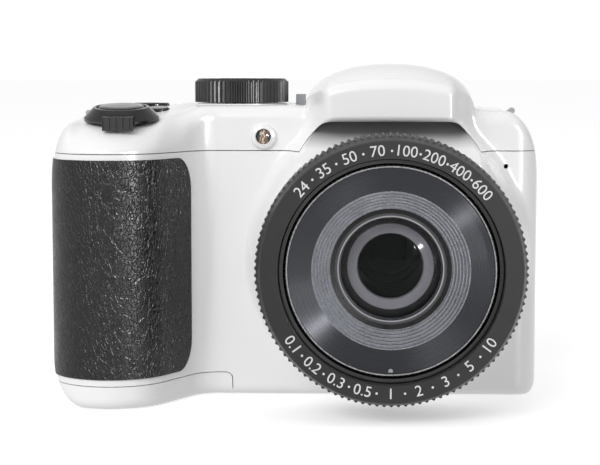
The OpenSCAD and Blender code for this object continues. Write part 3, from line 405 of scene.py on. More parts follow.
# Battery door under the grip, hinged along Y, with a sliding latch
DOOR_X, DOOR_H, DOOR_END, DOOR_ROUND, DOOR_OUT = -39.3, 5.6, Y_SPLIT - 0.3, 1.6, 10.0
HINGE_X, HINGE_H, HINGE_PIN = -40.8, 1.5, 0.7
EARS_Y, EAR_W, EAR_SWEEP, EAR_GAP = (-11.0, 6.0), 3.0, 2.43, 0.3
LATCH_X, LATCH_Y, LATCH_TRAVEL = NOSE_X - 2, Y_FRONT - NOSE_FWD - 4.5, 3.0
LATCH_SLOTS = ((3.3, 8.0, 3.3, 0.9), (0.3, 4.0, 1.8, WALL + 1))


def door_prism(grow, y0, y1):
    outline = rounded(X_LEFT - DOOR_OUT - grow, DOOR_X + grow, -DOOR_OUT - grow, DOOR_H + grow,
                      DOOR_ROUND + grow)
    return prism_y("door", outline, y0, y1)


def hinge_rod(y0, y1, r, n=64):
    return rod((HINGE_X, y0, HINGE_H), (HINGE_X, y1, HINGE_H), r, n)


def latch_slot(before, after, half, depth):
    return block(LATCH_X - before, LATCH_X + after + LATCH_TRAVEL, LATCH_Y - half, LATCH_Y + half, -1, depth)


# Controls and details: places first, then the bores and seats that they need
SHUT = (-65.7, -27.0)
BURST, POWER, DIAL, DIAL_BOSS = (-58.6, -10.0), (-62.1, 4.0), (-37.8, -4.0), (11.6, 1.0)
LAMP, MIC = (-31.3, 65.0), (28.8, 57.7)
FLASH_KEY = (-23.9, -21.6, -3.0, 5.0)
LUGS, LUG_Y, LUG_LEAN, LUG_SINK = ((-78.3, -1, 2.2), (31.7, 1, 1.5)), 4.0, math.radians(45), 3.1
PORT, PORT_PIN = (0.0, 11.6, 26.0, 50.0), (36.35, 11.0)
LCD, LCD_W, LCD_H = (-1.5, 33.0), 64.0, 50.0
KEYS, RECORD, PAD = ((-70.5, 13.0), (-41.5, 13.0), (-41.5, 43.0)), (-44.5, 63.0), (-55.9, 28.0)
SCREWS = ((29, -9), (29, 9), (-29, -9), (-29, 9))
RUBBER_EDGE, RUBBER_LOW, RUBBER_HIGH, RUBBER_CORNER = -49.1, 7.4, 60.0, (2.6, 8.0)
RUBBER_T, RUBBER_PROUD, RUBBER_GAP = 0.8, 0.35, 0.07

TUBE_BORE, TRIPOD_BORE, MIC_R = 28.8, 5.25, 0.6
SCREW_HEAD, SCREW_SINK, SCREW_SHANK, SCREW_END = 2.0, 1.25, 1.1, 4.0
SHUT_BORE, SHUT_SEAT, BURST_BORE, POWER_BORE = 7.4, (10.6, -3.6, 4.4), 2.9, 4.9
DIAL_SHAFT, DIAL_SEAT, LAMP_BORE, LAMP_LENS_R = 3.05, 5.5, 2.55, 2.2
LUG_SEAT, LUG_BALL, LUG_RISE, LUG_LEG, LUG_LEG_R = (5.0, 5.6, -2.0, 7.0), 4.6, 1.6, 2.6, 0.96
TRAY_W, TRAY_LOW, TRAY_HIGH = 20.5, 69.45, 70.85
FLASH_GAP, FLASH_SINK, PORT_GAP, PORT_BORE = 0.15, 2.5, 0.12, 0.51
KEY_BORE, PAD_BORE, KEY_DEPTH = 3.6, 10.8, 12.0
LCD_LEDGE, LCD_GAP, LCD_SINK = 1.0, 0.05, 1.2


def rubber_outline(grow):
    rx, rz = RUBBER_CORNER[0] + grow, RUBBER_CORNER[1] + grow
    x1, z0, z1 = RUBBER_EDGE + grow, RUBBER_LOW - grow, RUBBER_HIGH + grow
    turn = np.radians(np.linspace(90, 0, 24))
    upper = [(x1 - rx + rx * math.cos(a), z1 - rz + rz * math.sin(a)) for a in turn]
    lower = [(x, z0 + z1 - z) for x, z in reversed(upper)]
    return upper + lower + [(X_LEFT - 30, z0), (X_LEFT - 30, z1)]


def deck_at(y):
    return DECK - TOP_SLOPE * max(0, SLOPE_FROM - y)


def slope_point(p, h):
    """Point at height h over the sloping grip top."""
    return (p[0], p[1] - h * math.sin(SLOPE), deck_at(p[1]) + h * math.cos(SLOPE))


def slope_rod(p, r, h0, h1):
    return rod(slope_point(p, h0), slope_point(p, h1), r)


def lug_point(p, q):
    turn = Matrix.Rotation(p[1] * LUG_LEAN, 3, "Y")
    return Vector((p[0], LUG_Y, DECK - p[2])) + turn @ Vector((q[0], q[1], q[2] - LUG_SINK))


def lug_block(p):
    w, d, low, high = LUG_SEAT
    ends = [(-w, -d), (w, -d), (w, d), (-w, d)]
    return loft("lug", [[lug_point(p, (x, y, z)) for x, y in ends] for z in (low, high)])


def ball(centre, r, n=40):
    rings = []
    for i in range(1, n // 2):
        a = math.pi * i / (n // 2)
        rings.append([(centre[0] + r * math.sin(a) * math.cos(b), centre[1] + r * math.sin(a) * math.sin(b),
                       centre[2] - r * math.cos(a)) for b in np.linspace(0, 2 * math.pi, n, endpoint=False)])
    return loft("ball", rings)


def post(p, r, z0, z1, n=64):
    """Upright rod."""
    return rod((*p, z0), (*p, z1), r, n)


def level_rod(p, r, y0, y1, n=64):
    """Rod from front to back through a point of the front view."""
    return rod((p[0], y0, p[1]), (p[0], y1, p[1]), r, n)


def rear_rod(p, r):
    return level_rod(p, r, Y_REAR - KEY_DEPTH, Y_REAR + 5)


def window(grow, y0):
    """Space behind y0 over the monitor."""
    return block(LCD[0] - LCD_W / 2 - grow, LCD[0] + LCD_W / 2 + grow, y0, FAR,
                 LCD[1] - LCD_H / 2 - grow, LCD[1] + LCD_H / 2 + grow)


# The moulded covers
outer = skin("outer", 0.0, STEP)
inner = skin("inner", WALL, 2 * STEP)
collar_wall = collar_prism(WALL, -FAR, FLOOR_Y)
shell_top = less(copied(inner, "hollow_top"), collar_wall)
shell_front = less(copied(inner, "hollow_front"), within(collar_wall, under_brow(1.3 * WALL)))

front_cover = copied(outer, "front_shell")
within(front_cover, plus(block(-FAR, FAR, -FAR, Y_SPLIT - SLIT, -1, SEAM - SLIT),
                         collar_prism(-SLIT, -FAR, FLOOR_Y + 1)))
plus(shell_front, door_prism(SLIT * 2, -FAR, FAR))
less(shell_front, *[block(HINGE_X - HINGE_H, DOOR_X + 1.5, y, y + EAR_W, -1, HINGE_H + 1) for y in EARS_Y])
less(front_cover, shell_front, within(collar_prism(0.0, -FAR, COLLAR_Y + 0.5), under_brow(0.0)))
recess = prism_y("recess", rubber_outline(RUBBER_GAP), -FAR, Y_SPLIT - 0.9)
rubber_seat = skin("rubber_seat", RUBBER_T, 1.5 * STEP)
less(front_cover, less(recess, rubber_seat))
less(front_cover, block(X_RIGHT - 3, FAR, PORT[0] - PORT_GAP, PORT[1] + 0.5, PORT[2] - PORT_GAP,
                        PORT[3] + PORT_GAP))
less(front_cover, level_rod((0, LENS_Z), TUBE_BORE, -12, -60, 120), post((0, 0), TRIPOD_BORE, -1, 5))
for spot in SCREWS:
    less(front_cover, plus(post(spot, SCREW_HEAD, -1, SCREW_SINK, 32),
                           post(spot, SCREW_SHANK, 0.5, SCREW_END, 32)))
less(front_cover, level_rod(MIC, MIC_R, Y_FRONT + 3, Y_FRONT - 15, 32),
     hinge_rod(EARS_Y[0] - 1, EARS_Y[1] + EAR_W + 1, HINGE_PIN + PIN_FIT, 32),
     post(PORT_PIN, PORT_BORE, PORT[2] - 1.5, PORT[3] + 1.5, 32))

top_cover = within(copied(outer, "top_shell"), block(-FAR, FAR, -FAR, Y_SPLIT - SLIT, SEAM + SLIT, FAR))
plus(top_cover, post(DIAL, DIAL_BOSS[0], DECK - 1, DECK + DIAL_BOSS[1], 120))
less(shell_top, block(-TRAY_W, TRAY_W, FLOOR_Y - 1, LID_Y + 3, TRAY_LOW, TRAY_HIGH),
     slope_rod(SHUT, *SHUT_SEAT), post(DIAL, DIAL_SEAT, DECK - 5, DECK - 0.5),
     *[lug_block(p) for p in LUGS])
less(top_cover, shell_top, collar_opening(0.0, FLOOR_Y + 0.5),
     prism_z("lid_cut", lid_plan(-0.04), LID_Z, HUMP_OVER),
     block(-ARM[1] - 0.4, ARM[1] + 0.4, LID_Y - LID_BACK - 0.5, LID_Y + 1.8, LID_AXIS_Z - 1.8, FAR),
     *[ball(lug_point(p, (0, 0, LUG_SINK + LUG_RISE)), LUG_BALL) for p in LUGS],
     block(FLASH_KEY[0] - FLASH_GAP, FLASH_KEY[1] + FLASH_GAP, FLASH_KEY[2] - FLASH_GAP,
           FLASH_KEY[3] + FLASH_GAP, DECK - FLASH_SINK, FAR))
less(top_cover, slope_rod(SHUT, SHUT_BORE, -6, 6), slope_rod(BURST, BURST_BORE, -6, 6),
     post(POWER, POWER_BORE, DECK - 6, DECK + 6), post(DIAL, DIAL_SHAFT, DECK - 7, DECK + 5),
     level_rod(LAMP, LAMP_BORE, Y_FRONT + 6, Y_FRONT - 6),
     lid_rod(-LID_PIN_END, LID_PIN_END, LID_PIN + PIN_FIT))
for p in LUGS:
    for leg in (-LUG_LEG, LUG_LEG):
        less(top_cover, rod(lug_point(p, (0, leg, -1.5)), lug_point(p, (0, leg, 4.5)), LUG_LEG_R, 32))

rear_cover = within(copied(outer, "rear_shell"), block(-FAR, FAR, Y_SPLIT + SLIT, FAR, -1, FAR))
less(rear_cover, inner, window(-LCD_LEDGE, Y_SPLIT), window(LCD_GAP, Y_REAR - LCD_SINK),
     *[rear_rod(p, KEY_BORE) for p in (*KEYS, RECORD)], rear_rod(PAD, PAD_BORE))

flash_lid = within(copied(outer, "lid_shell"), prism_z("lid_zone", lid_plan(0.07), LID_Z + 0.1, HUMP_OVER))
less(flash_lid, inner, lid_rod(-FAR, FAR, LID_SWEEP, 64))
for x0, x1 in ((-ARM[1], -ARM[0]), ARM):
    strap = within(copied(outer, "lid_arm"), block(x0, x1, LID_Y - 6, LID_Y, LID_AXIS_Z - KNUCKLE, FAR))
    plus(flash_lid, strap, lid_rod(x0, x1, KNUCKLE))
less(flash_lid, lid_rod(-FAR, FAR, LID_PIN + PIN_RUN))

battery_door = within(copied(outer, "door_shell"), door_prism(0.0, -FAR, DOOR_END))
less(battery_door, inner, less(block(HINGE_X, FAR, -FAR, FAR, -1, HINGE_H),
                               hinge_rod(-FAR, Y_FRONT + 2.5, HINGE_H + 0.02)))
plus(battery_door, hinge_rod(Y_FRONT + 2.3, DOOR_END - 0.5, HINGE_H - 0.03))
less(battery_door,
     *[block(HINGE_X - EAR_SWEEP, FAR, y - EAR_GAP, y + EAR_W + EAR_GAP, -1, HINGE_H + 1.6) for y in EARS_Y],
     *[latch_slot(*slot) for slot in LATCH_SLOTS],
     hinge_rod(EARS_Y[0] - 5, FAR, HINGE_PIN + PIN_RUN, 32))

grip_rubber = within(less(skin("rubber_shell", -RUBBER_PROUD, STEP), rubber_seat),
                     prism_y("rubber_zone", rubber_outline(0.0), -FAR, Y_SPLIT - 1))

shells = {
    "front_cover": (front_cover, "camera_body", "white_plastic"),
    "top_cover": (top_cover, "camera_body", "white_plastic"),
    "rear_cover": (rear_cover, "camera_body", "white_plastic"),
    "flash_lid": (flash_lid, "flash_lid", "white_plastic"),
    "battery_door": (battery_door, "battery_door", "white_plastic"),
    "grip_rubber": (grip_rubber, "camera_body", "grip_rubber"),
}


def smooth(mesh, angle):
    mesh.shade_smooth()
    mesh.set_sharp_from_angle(angle=math.radians(angle))


# Materials: scales of grain count cells in a metre, depths of grain are in millimetres
WHITE, WHITE_GRAIN, GLOSS_PATCH = (0.83, 0.828, 0.835), 1800, 240
SHARP = 32                            # angle of an edge that is not shaded smooth, in degrees


def links_of(material):
    tree = material.node_tree
    return tree.nodes, tree.links, tree.nodes["Principled BSDF"]


def plain(name, colour, rough, metal=0.0, **sockets):
    material = bpy.data.materials.new(name)
    material.use_nodes = True
    shader = links_of(material)[2]
    shader.inputs["Base Color"].default_value = (*colour, 1)
    shader.inputs["Roughness"].default_value = rough
    shader.inputs["Metallic"].default_value = metal
    for key, value in sockets.items():
        shader.inputs[key.replace("_", " ")].default_value = value
    return material


def position(material, stretch=(1, 1, 1)):
    nodes_, links, _ = links_of(material)
    coord = nodes_.new("ShaderNodeTexCoord")
    mapping = nodes_.new("ShaderNodeMapping")
    mapping.inputs["Scale"].default_value = stretch
    links.new(coord.outputs["Object"], mapping.inputs["Vector"])
    return mapping.outputs["Vector"]


def noise(material, scale, detail):
    nodes_, links, _ = links_of(material)
    node = nodes_.new("ShaderNodeTexNoise")
    node.inputs["Scale"].default_value = scale
    node.inputs["Detail"].default_value = detail
    links.new(position(material), node.inputs["Vector"])
    return node.outputs["Fac"]


def remap(material, value, low, high, start=0.3, end=0.7):
    nodes_, links, _ = links_of(material)
    node = nodes_.new("ShaderNodeMapRange")
    for key, v in (("From Min", start), ("From Max", end), ("To Min", low), ("To Max", high)):
        node.inputs[key].default_value = v
    links.new(value, node.inputs["Value"])
    return node.outputs["Result"]


def tint(material, value, first, second):
    """Base colour between two colours."""
    nodes_, links, shader = links_of(material)
    ramp = nodes_.new("ShaderNodeValToRGB")
    for stop, place, shade in zip(ramp.color_ramp.elements, (0.3, 0.7), (first, second)):
        stop.position, stop.color = place, (*shade, 1)
    links.new(value, ramp.inputs["Fac"])
    links.new(ramp.outputs["Color"], shader.inputs["Base Color"])


def bump(material, height, depth):
    nodes_, links, shader = links_of(material)
    node = nodes_.new("ShaderNodeBump")
    node.inputs["Strength"].default_value = 1.0
    node.inputs["Distance"].default_value = depth * MM
    links.new(height, node.inputs["Height"])
    links.new(node.outputs["Normal"], shader.inputs["Normal"])


def moulding(name, colour, rough, grain=0.006, scale=2600, spread=0.06, vary=0.03, metal=0.0, fleck=60,
             **sockets):
    """Moulded or turned surface: slight mottle, uneven gloss and a fine grain."""
    material = plain(name, colour, rough, metal, **sockets)
    _, links, shader = links_of(material)
    blotch = noise(material, fleck, 4)
    tint(material, blotch, [c * (1 - vary) for c in colour], [min(1, c * (1 + vary)) for c in colour])
    gloss = remap(material, noise(material, GLOSS_PATCH, 5), max(0.02, rough - spread), rough + spread)
    links.new(gloss, shader.inputs["Roughness"])
    bump(material, noise(material, scale, 2), grain)
    return material


def painted_recess_shade(name, colour, shaded_colour, rough, low, high):
    """Moulded plastic with painted shade: its colour turns grey towards the root of a recess, where shade
    falls under the brow.
    """
    material = plain(name, colour, rough)
    nodes_, links, _ = links_of(material)
    split = nodes_.new("ShaderNodeSeparateXYZ")
    links.new(position(material), split.inputs["Vector"])
    tint(material, remap(material, split.outputs["Z"], 0.0, 1.0, low * MM, high * MM), colour, shaded_colour)
    bump(material, noise(material, WHITE_GRAIN, 2), 0.003)
    return material


def math_node(material, operation, first, second):
    nodes_, links, _ = links_of(material)
    node = nodes_.new("ShaderNodeMath")
    node.operation = operation
    for socket, value in zip(node.inputs, (first, second)):
        if isinstance(value, (int, float)):
            socket.default_value = value
        else:
            links.new(value, socket)
    return node.outputs["Value"]


def cracks(material, scale, warp, width):
    """Net of grooves between irregular cells, 0 in a groove and 1 on a cell."""
    nodes_, links, _ = links_of(material)
    base = position(material, (1, 1, 0.62))
    bend = nodes_.new("ShaderNodeTexNoise")
    bend.inputs["Scale"].default_value = scale * 0.5
    bend.inputs["Detail"].default_value = 2
    links.new(base, bend.inputs["Vector"])
    shift = nodes_.new("ShaderNodeVectorMath")
    shift.operation = "MULTIPLY_ADD"
    shift.inputs[1].default_value = (warp * MM, warp * MM, warp * MM)
    links.new(bend.outputs["Color"], shift.inputs[0])
    links.new(base, shift.inputs[2])
    cells = nodes_.new("ShaderNodeTexVoronoi")
    cells.feature = "DISTANCE_TO_EDGE"
    cells.inputs["Scale"].default_value = scale
    links.new(shift.outputs["Vector"], cells.inputs["Vector"])
    return remap(material, cells.outputs["Distance"], 0.0, 1.0, 0.0, width)


def leather(name, colour, rough):
    """Rubber with a fine pebbled leather grain broken by longer creases, and painted shade that darkens the
    grooves.
    """
    material = plain(name, colour, rough, 0.0, Specular_IOR_Level=0.33)
    _, links, shader = links_of(material)
    pebbles = cracks(material, 1250, 0.7, 0.11)
    creases = cracks(material, 430, 1.6, 0.06)
    net = math_node(material, "MULTIPLY", pebbles, remap(material, creases, 0.35, 1.0, 0.0, 1.0))
    height = math_node(material, "ADD", net, math_node(material, "MULTIPLY", noise(material, 3200, 2), 0.2))
    bump(material, height, 0.08)
    # painted shade: the grooves of the grain are darkened to half the colour
    tint(material, net, [c * 0.5 for c in colour], colour)
    gloss = remap(material, noise(material, 300, 3), rough - 0.06, rough + 0.08)
    links.new(gloss, shader.inputs["Roughness"])
    return material


def lens_radius(material):
    """Distance from the lens axis."""
    nodes_, links, _ = links_of(material)
    kinds = ("SeparateXYZ", "CombineXYZ", "VectorMath")
    split, flat, length = [nodes_.new("ShaderNode" + kind) for kind in kinds]
    length.operation = "LENGTH"
    links.new(position(material), split.inputs["Vector"])
    links.new(split.outputs["X"], flat.inputs["X"])
    links.new(math_node(material, "SUBTRACT", split.outputs["Z"], LENS_Z * MM), flat.inputs["Y"])
    links.new(flat.outputs["Vector"], length.inputs[0])
    return length.outputs["Value"]


def banded(name, colour, edge, r):
    """Dark turned ring with a bare metal edge inside radius r."""
    material = plain(name, colour, 0.3)
    _, links, shader = links_of(material)
    bare = remap(material, lens_radius(material), 1.0, 0.0, (r - 0.06) * MM, (r + 0.06) * MM)
    tint(material, math_node(material, "ADD", remap(material, bare, 0.3, 0.7, 0.0, 1.0),
                             math_node(material, "MULTIPLY", noise(material, 2400, 2), 0.04)), colour, edge)
    links.new(bare, shader.inputs["Metallic"])
    links.new(remap(material, noise(material, 300, 3), 0.25, 0.38), shader.inputs["Roughness"])
    return material


def spun(name, colour, rough, rings):
    """Turned metal face with fine concentric lines and a gloss that runs round the lens axis."""
    material = plain(name, colour, rough, 0.9, Anisotropic=1.0, Anisotropic_Rotation=0.25)
    nodes_, links, shader = links_of(material)
    tangent = nodes_.new("ShaderNodeTangent")
    tangent.direction_type, tangent.axis = "RADIAL", "Y"
    links.new(tangent.outputs["Tangent"], shader.inputs["Tangent"])
    lines = nodes_.new("ShaderNodeTexNoise")
    lines.noise_dimensions = "1D"
    lines.inputs["Scale"].default_value = rings
    lines.inputs["Detail"].default_value = 2
    links.new(lens_radius(material), lines.inputs["W"])
    links.new(remap(material, lines.outputs["Fac"], rough - 0.04, rough + 0.04), shader.inputs["Roughness"])
    tint(material, lines.outputs["Fac"], [c * 0.8 for c in colour], [c * 1.2 for c in colour])
    bump(material, lines.outputs["Fac"], 0.003)
    return material


def glass(name, colour, haze):
    """Coated glass: clear but for a faint uneven coating that carries the highlights."""
    material = plain(name, colour, 0.09, 0.0, Alpha=haze)
    tint(material, noise(material, 120, 2), [c * 0.6 for c in colour], colour)
    return material


def lamp_glass_painted_reflections(name):
    """Clear lens over a lamp with painted reflections: the upright facets of the reflector are painted as
    amber and pale streaks on slate.
    """
    material = plain(name, (0.05, 0.06, 0.07), 0.08, 0.0, IOR=1.5)
    nodes_, links, shader = links_of(material)
    split = nodes_.new("ShaderNodeSeparateXYZ")
    links.new(position(material), split.inputs["Vector"])
    wave = math_node(material, "MULTIPLY", noise(material, 900, 2), 0.5)
    edges = [(LAMP[0] + side * LAMP_LENS_R) * MM for side in (-1, 1)]
    across = remap(material, split.outputs["X"], 0.0, 1.0, *edges)
    ramp = nodes_.new("ShaderNodeValToRGB")
    # painted reflections: amber and pale streaks stand for the reflector's facets
    painted_streaks = [(0.0, (0.03, 0.05, 0.07)), (0.26, (0.05, 0.07, 0.08)), (0.36, (0.55, 0.34, 0.15)),
              (0.44, (0.10, 0.06, 0.05)), (0.53, (0.70, 0.62, 0.58)), (0.62, (0.16, 0.09, 0.06)),
              (0.72, (0.34, 0.20, 0.12)), (0.82, (0.05, 0.08, 0.10))]
    stops = ramp.color_ramp.elements
    while len(stops) < len(painted_streaks):
        stops.new(0.5)
    for stop, (spot, shade) in zip(stops, painted_streaks):
        stop.position, stop.color = spot, (*shade, 1)
    place = math_node(material, "ADD", across, math_node(material, "SUBTRACT", wave, 0.25))
    links.new(place, ramp.inputs["Fac"])
    links.new(ramp.outputs["Color"], shader.inputs["Base Color"])
    return material


CELL_R = 12.45                        # bare edge round the front glass
looks = {
    "white_plastic": moulding("white_plastic", WHITE, 0.24, 0.003, WHITE_GRAIN, 0.015, 0.008),
    "grip_rubber": leather("grip_rubber", (0.006, 0.006, 0.0062), 0.30),
    "soft_rubber": moulding("soft_rubber", (0.020, 0.020, 0.021), 0.62, 0.02, 2200),
    "dark_plastic": moulding("dark_plastic", (0.010, 0.010, 0.0105), 0.34, 0.008, 2400),
    "lever_black": moulding("lever_black", (0.009, 0.009, 0.0095), 0.20, 0.004, 2400),
    "knurl_grey": moulding("knurl_grey", (0.030, 0.030, 0.030), 0.42, 0.010, 2400),
    "ring_face": moulding("ring_face", (0.006, 0.006, 0.0062), 0.50, 0.010, 3000, Specular_IOR_Level=0.3),
    "black_gloss": moulding("black_gloss", (0.008, 0.008, 0.009), 0.16, 0.002, 1500),
    "grey_plastic": moulding("grey_plastic", (0.30, 0.31, 0.32), 0.40, 0.008, 2400),
    "red_plastic": moulding("red_plastic", (0.50, 0.025, 0.025), 0.34, 0.008, 2400),
    "barrel_black": moulding("barrel_black", (0.006, 0.006, 0.007), 0.30, 0.004, Specular_IOR_Level=0.2),
    "cell_rim": banded("cell_rim", (0.016, 0.017, 0.020), (0.22, 0.22, 0.23), CELL_R),
    "spun_face": spun("spun_face", (0.040, 0.041, 0.046), 0.26, 9000),
    "ridge_grey": moulding("ridge_grey", (0.15, 0.155, 0.172), 0.36, 0.03, 5200, 0.10, 0.45, 0.8, 3600),
    "rim_metal": moulding("rim_metal", (0.22, 0.22, 0.225), 0.34, 0.02, 4200, 0.06, 0.5, 1.0, 2600),
    "bright_metal": moulding("bright_metal", (0.66, 0.66, 0.68), 0.24, 0.006, 4200, 0.06, 0.10, 1.0),
    "baffle_grey": moulding("baffle_grey", (0.21, 0.205, 0.24), 0.5, 0.006, 2600),
    "steel": moulding("steel", (0.58, 0.58, 0.59), 0.28, 0.006, 2600, 0.08, 0.06, 1.0),
    "frame_alloy": moulding("frame_alloy", (0.50, 0.50, 0.50), 0.45, 0.01, 1500, 0.08, 0.08, 1.0),
    "monitor_glass": moulding("monitor_glass", (0.008, 0.008, 0.010), 0.10, 0.001, 900, 0.03),
    "monitor_panel": moulding("monitor_panel", (0.05, 0.055, 0.065), 0.35, 0.004, 2600),
    "board_green": moulding("board_green", (0.02, 0.12, 0.06), 0.40, 0.02, 900, 0.08, 0.2),
    "cell_sleeve": moulding("cell_sleeve", (0.10, 0.16, 0.24), 0.32, 0.004, 1500, 0.05, 0.12),
    "contact_brass": moulding("contact_brass", (0.72, 0.55, 0.25), 0.28, 0.006, 2600, 0.08, 0.08, 1.0),
    # painted shade: white that greys upward into the recess under the brow
    "collar_painted_shade": painted_recess_shade("collar_painted_shade", WHITE, (0.22, 0.22, 0.225), 0.30, SEAM - 2.0, BROW_Z),
    "number_white": moulding("number_white", (0.62, 0.62, 0.62), 0.5, 0.004, 2600),
    "front_glass": glass("front_glass", (0.010, 0.020, 0.016), 0.07),
    "coated_glass": glass("coated_glass", (0.006, 0.012, 0.008), 0.06),
    # lamp lens with painted reflections of its reflector
    "lamp_amber": lamp_glass_painted_reflections("lamp_amber"),
}

finish_of = {row["node"]: row["material_slot"] for row in frame["record"]["subparts"]}
finish_of.update(thumb_rest="soft_rubber", dust_seal="soft_rubber", zoom_lever="lever_black")
for name, obj in nodes.items():
    obj.data.materials.clear()
    obj.data.materials.append(looks[finish_of[name]])
    smooth(obj.data, SHARP)

for name, (obj, body, slot) in shells.items():
    scratch.remove(obj)
    obj.name = obj.data.name = name + "_moulding"
    obj.data.transform(Matrix.Scale(MM, 4))
    obj.data.materials.clear()
    obj.data.materials.append(looks[slot])
    smooth(obj.data, SHARP)
    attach(obj, body)
    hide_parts(name)

RECESS_W, RECESS_RIM, RECESS_LOW = 24.0, 0.6, SEAM - 3


def in_painted_shade(polygon):
    """Whether a face of the front cover lies in the recess under the brow, which gets the painted shade."""
    x, y, z = polygon.center / MM
    inside = Y_FRONT - BROW + RECESS_RIM < y < FLOOR_Y + RECESS_RIM and abs(x) < RECESS_W and z > RECESS_LOW
    return inside and polygon.normal.y < 0.2


# Faces in the recess under the brow get the painted shade
front_cover.data.materials.append(looks["collar_painted_shade"])
for polygon in front_cover.data.polygons:
    polygon.material_index = int(in_painted_shade(polygon))
for obj in scratch:
    mesh = obj.data
    bpy.data.objects.remove(obj)
    bpy.data.meshes.remove(mesh)


def zones(name, choose):
    """Gives polygons of a part their own finish: choose(radius, forward, normal forward, normal outward)."""
    mesh = nodes[name].data
    known = {finish_of[name]: 0}
    for polygon in mesh.polygons:
        c, n = polygon.center, polygon.normal
        x, z = c.x / MM, c.z / MM - LENS_Z
        r = math.hypot(x, z)
        look = choose(r, Y_FRONT - c.y / MM, -n.y, (n.x * x + n.z * z) / max(r, 1e-6))
        if look not in known:
            known[look] = len(mesh.materials)
            mesh.materials.append(looks[look])
        polygon.material_index = known[look]


# Finishes of the lens front by radius and by distance ahead of the housing's front plane
FACE_AT, RIM_IN, RIM_OUT, FACE_IN = 33.2, 23.7, 24.4, 18.35
RIDGE_AT, RIDGE_IN, RIDGE_OUT, RING_AT = 29.4, 14.0, 18.6, 37.0
FACING = 0.9                          # cosine over which a face counts as facing a direction


def barrel_zone(r, f, ahead, outward):
    if f > FACE_AT and r > RIM_IN:
        return "rim_metal" if r < RIM_OUT else "barrel_black"
    if f > FACE_AT and r > FACE_IN:
        return "spun_face"
    return "ridge_grey" if f > RIDGE_AT and RIDGE_IN < r <= RIDGE_OUT else "barrel_black"


def ring_zone(r, f, ahead, outward):
    return "ring_face" if ahead > FACING and f > RING_AT else "knurl_grey"


zones("front_barrel", barrel_zone)
zones("front_ring", ring_zone)
zones("retaining_ring", lambda r, f, ahead, outward: "cell_rim")
zones("front_element", lambda r, f, ahead, outward: "front_glass")
for polygon in nodes["mode_dial"].data.polygons:
    polygon.material_index = int(polygon.normal.z > FACING)
nodes["mode_dial"].data.materials.append(looks["black_gloss"])


# Numbers, marks and key signs: thin inlays
INLAY, FIGURE_SHARE = 0.04, 0.7       # half the thickness; height of a figure in its type size


def outline_of(text, height):
    """Flat faces of a line of figures, centred."""
    curve = bpy.data.curves.new("figures", "FONT")
    curve.body, curve.size, curve.extrude = text, height / FIGURE_SHARE, INLAY
    curve.align_x, curve.align_y, curve.resolution_u = "CENTER", "CENTER", 4
    holder = bpy.data.objects.new("figures", curve)
    scene.collection.objects.link(holder)
    graph = bpy.context.evaluated_depsgraph_get()
    mesh = bpy.data.meshes.new_from_object(holder.evaluated_get(graph))
    verts = [tuple(v.co) for v in mesh.vertices]
    faces = [tuple(p.vertices) for p in mesh.polygons]
    bpy.data.objects.remove(holder)
    bpy.data.curves.remove(curve)
    bpy.data.meshes.remove(mesh)
    return verts, faces


def plate(points):
    """Thin plate over a flat outline."""
    n = len(points)
    verts = [(x, y, z) for z in (-INLAY, INLAY) for x, y in points]
    faces = [tuple(range(n - 1, -1, -1)), tuple(range(n, 2 * n))]
    return verts, faces + [(i, (i + 1) % n, n + (i + 1) % n, n + i) for i in range(n)]


def disc(r, n=20):
    turns = np.linspace(0, 2 * np.pi, n, endpoint=False)
    return plate([(r * math.cos(a), r * math.sin(a)) for a in turns])


def bar(x0, x1, y0, y1):
    return plate([(x0, y0), (x1, y0), (x1, y1), (x0, y1)])


def inlay(name, body, look, marks):
    """One piece from marks: (flat shape, centre, right, up), in millimetres."""
    verts, faces = [], []
    for (points, polygons), centre, right, up in marks:
        centre, right, up = Vector(centre), Vector(right), Vector(up)
        out = right.cross(up)
        faces += [tuple(i + len(verts) for i in polygon) for polygon in polygons]
        verts += [(centre + right * x + up * y + out * z) * MM for x, y, z in points]
    mesh = bpy.data.meshes.new(name)
    mesh.from_pydata(verts, [], faces)
    mesh.materials.append(looks[look])
    piece = bpy.data.objects.new(name, mesh)
    scene.collection.objects.link(piece)
    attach(piece, body)


def ring_mark(shape, turn, r, y, upright=False):
    """Mark on a face round the lens, turned from the top; upright marks read from below the axis."""
    a, s = math.radians(turn), -1 if upright else 1
    return (shape, (r * math.sin(a), y, LENS_Z + r * math.cos(a)),
            (s * math.cos(a), 0, -s * math.sin(a)), (s * math.sin(a), 0, s * math.cos(a)))


RING_Y, FACE_Y, NUMBER_R, NUMBER_H = Y_FRONT - 38.0, Y_FRONT - 33.8, 27.9, 2.5
NUMBER_STEP, DOT_R, INDEX_R = 13.4, 0.28, 23.2
focal = ["24", "35", "50", "70", "100", "200", "400", "600"]
metres = ["0.1", "0.2", "0.3", "0.5", "1", "2", "3", "5", "10"]
spread = [(i - (len(focal) - 1) / 2) * NUMBER_STEP for i in range(len(focal))]
reach = [180 - (i - (len(metres) - 1) / 2) * NUMBER_STEP for i in range(len(metres))]
marks = [ring_mark(outline_of(n, NUMBER_H), a, NUMBER_R, RING_Y) for n, a in zip(focal, spread)]
marks += [ring_mark(outline_of(n, NUMBER_H), a, NUMBER_R, RING_Y, True) for n, a in zip(metres, reach)]
marks += [ring_mark(disc(DOT_R), (p + q) / 2, NUMBER_R, RING_Y)
          for row in (spread, reach) for p, q in zip(row, row[1:])]
inlay("ring_numbers", "camera_body", "number_white", marks)
peg = plate([(-0.55, -0.35), (0.55, -0.35), (0.5, 0.15), (0.3, 0.42), (-0.3, 0.42), (-0.5, 0.15)])
inlay("index_mark", "front_barrel", "grey_plastic", [ring_mark(peg, 180, INDEX_R, FACE_Y, True)])

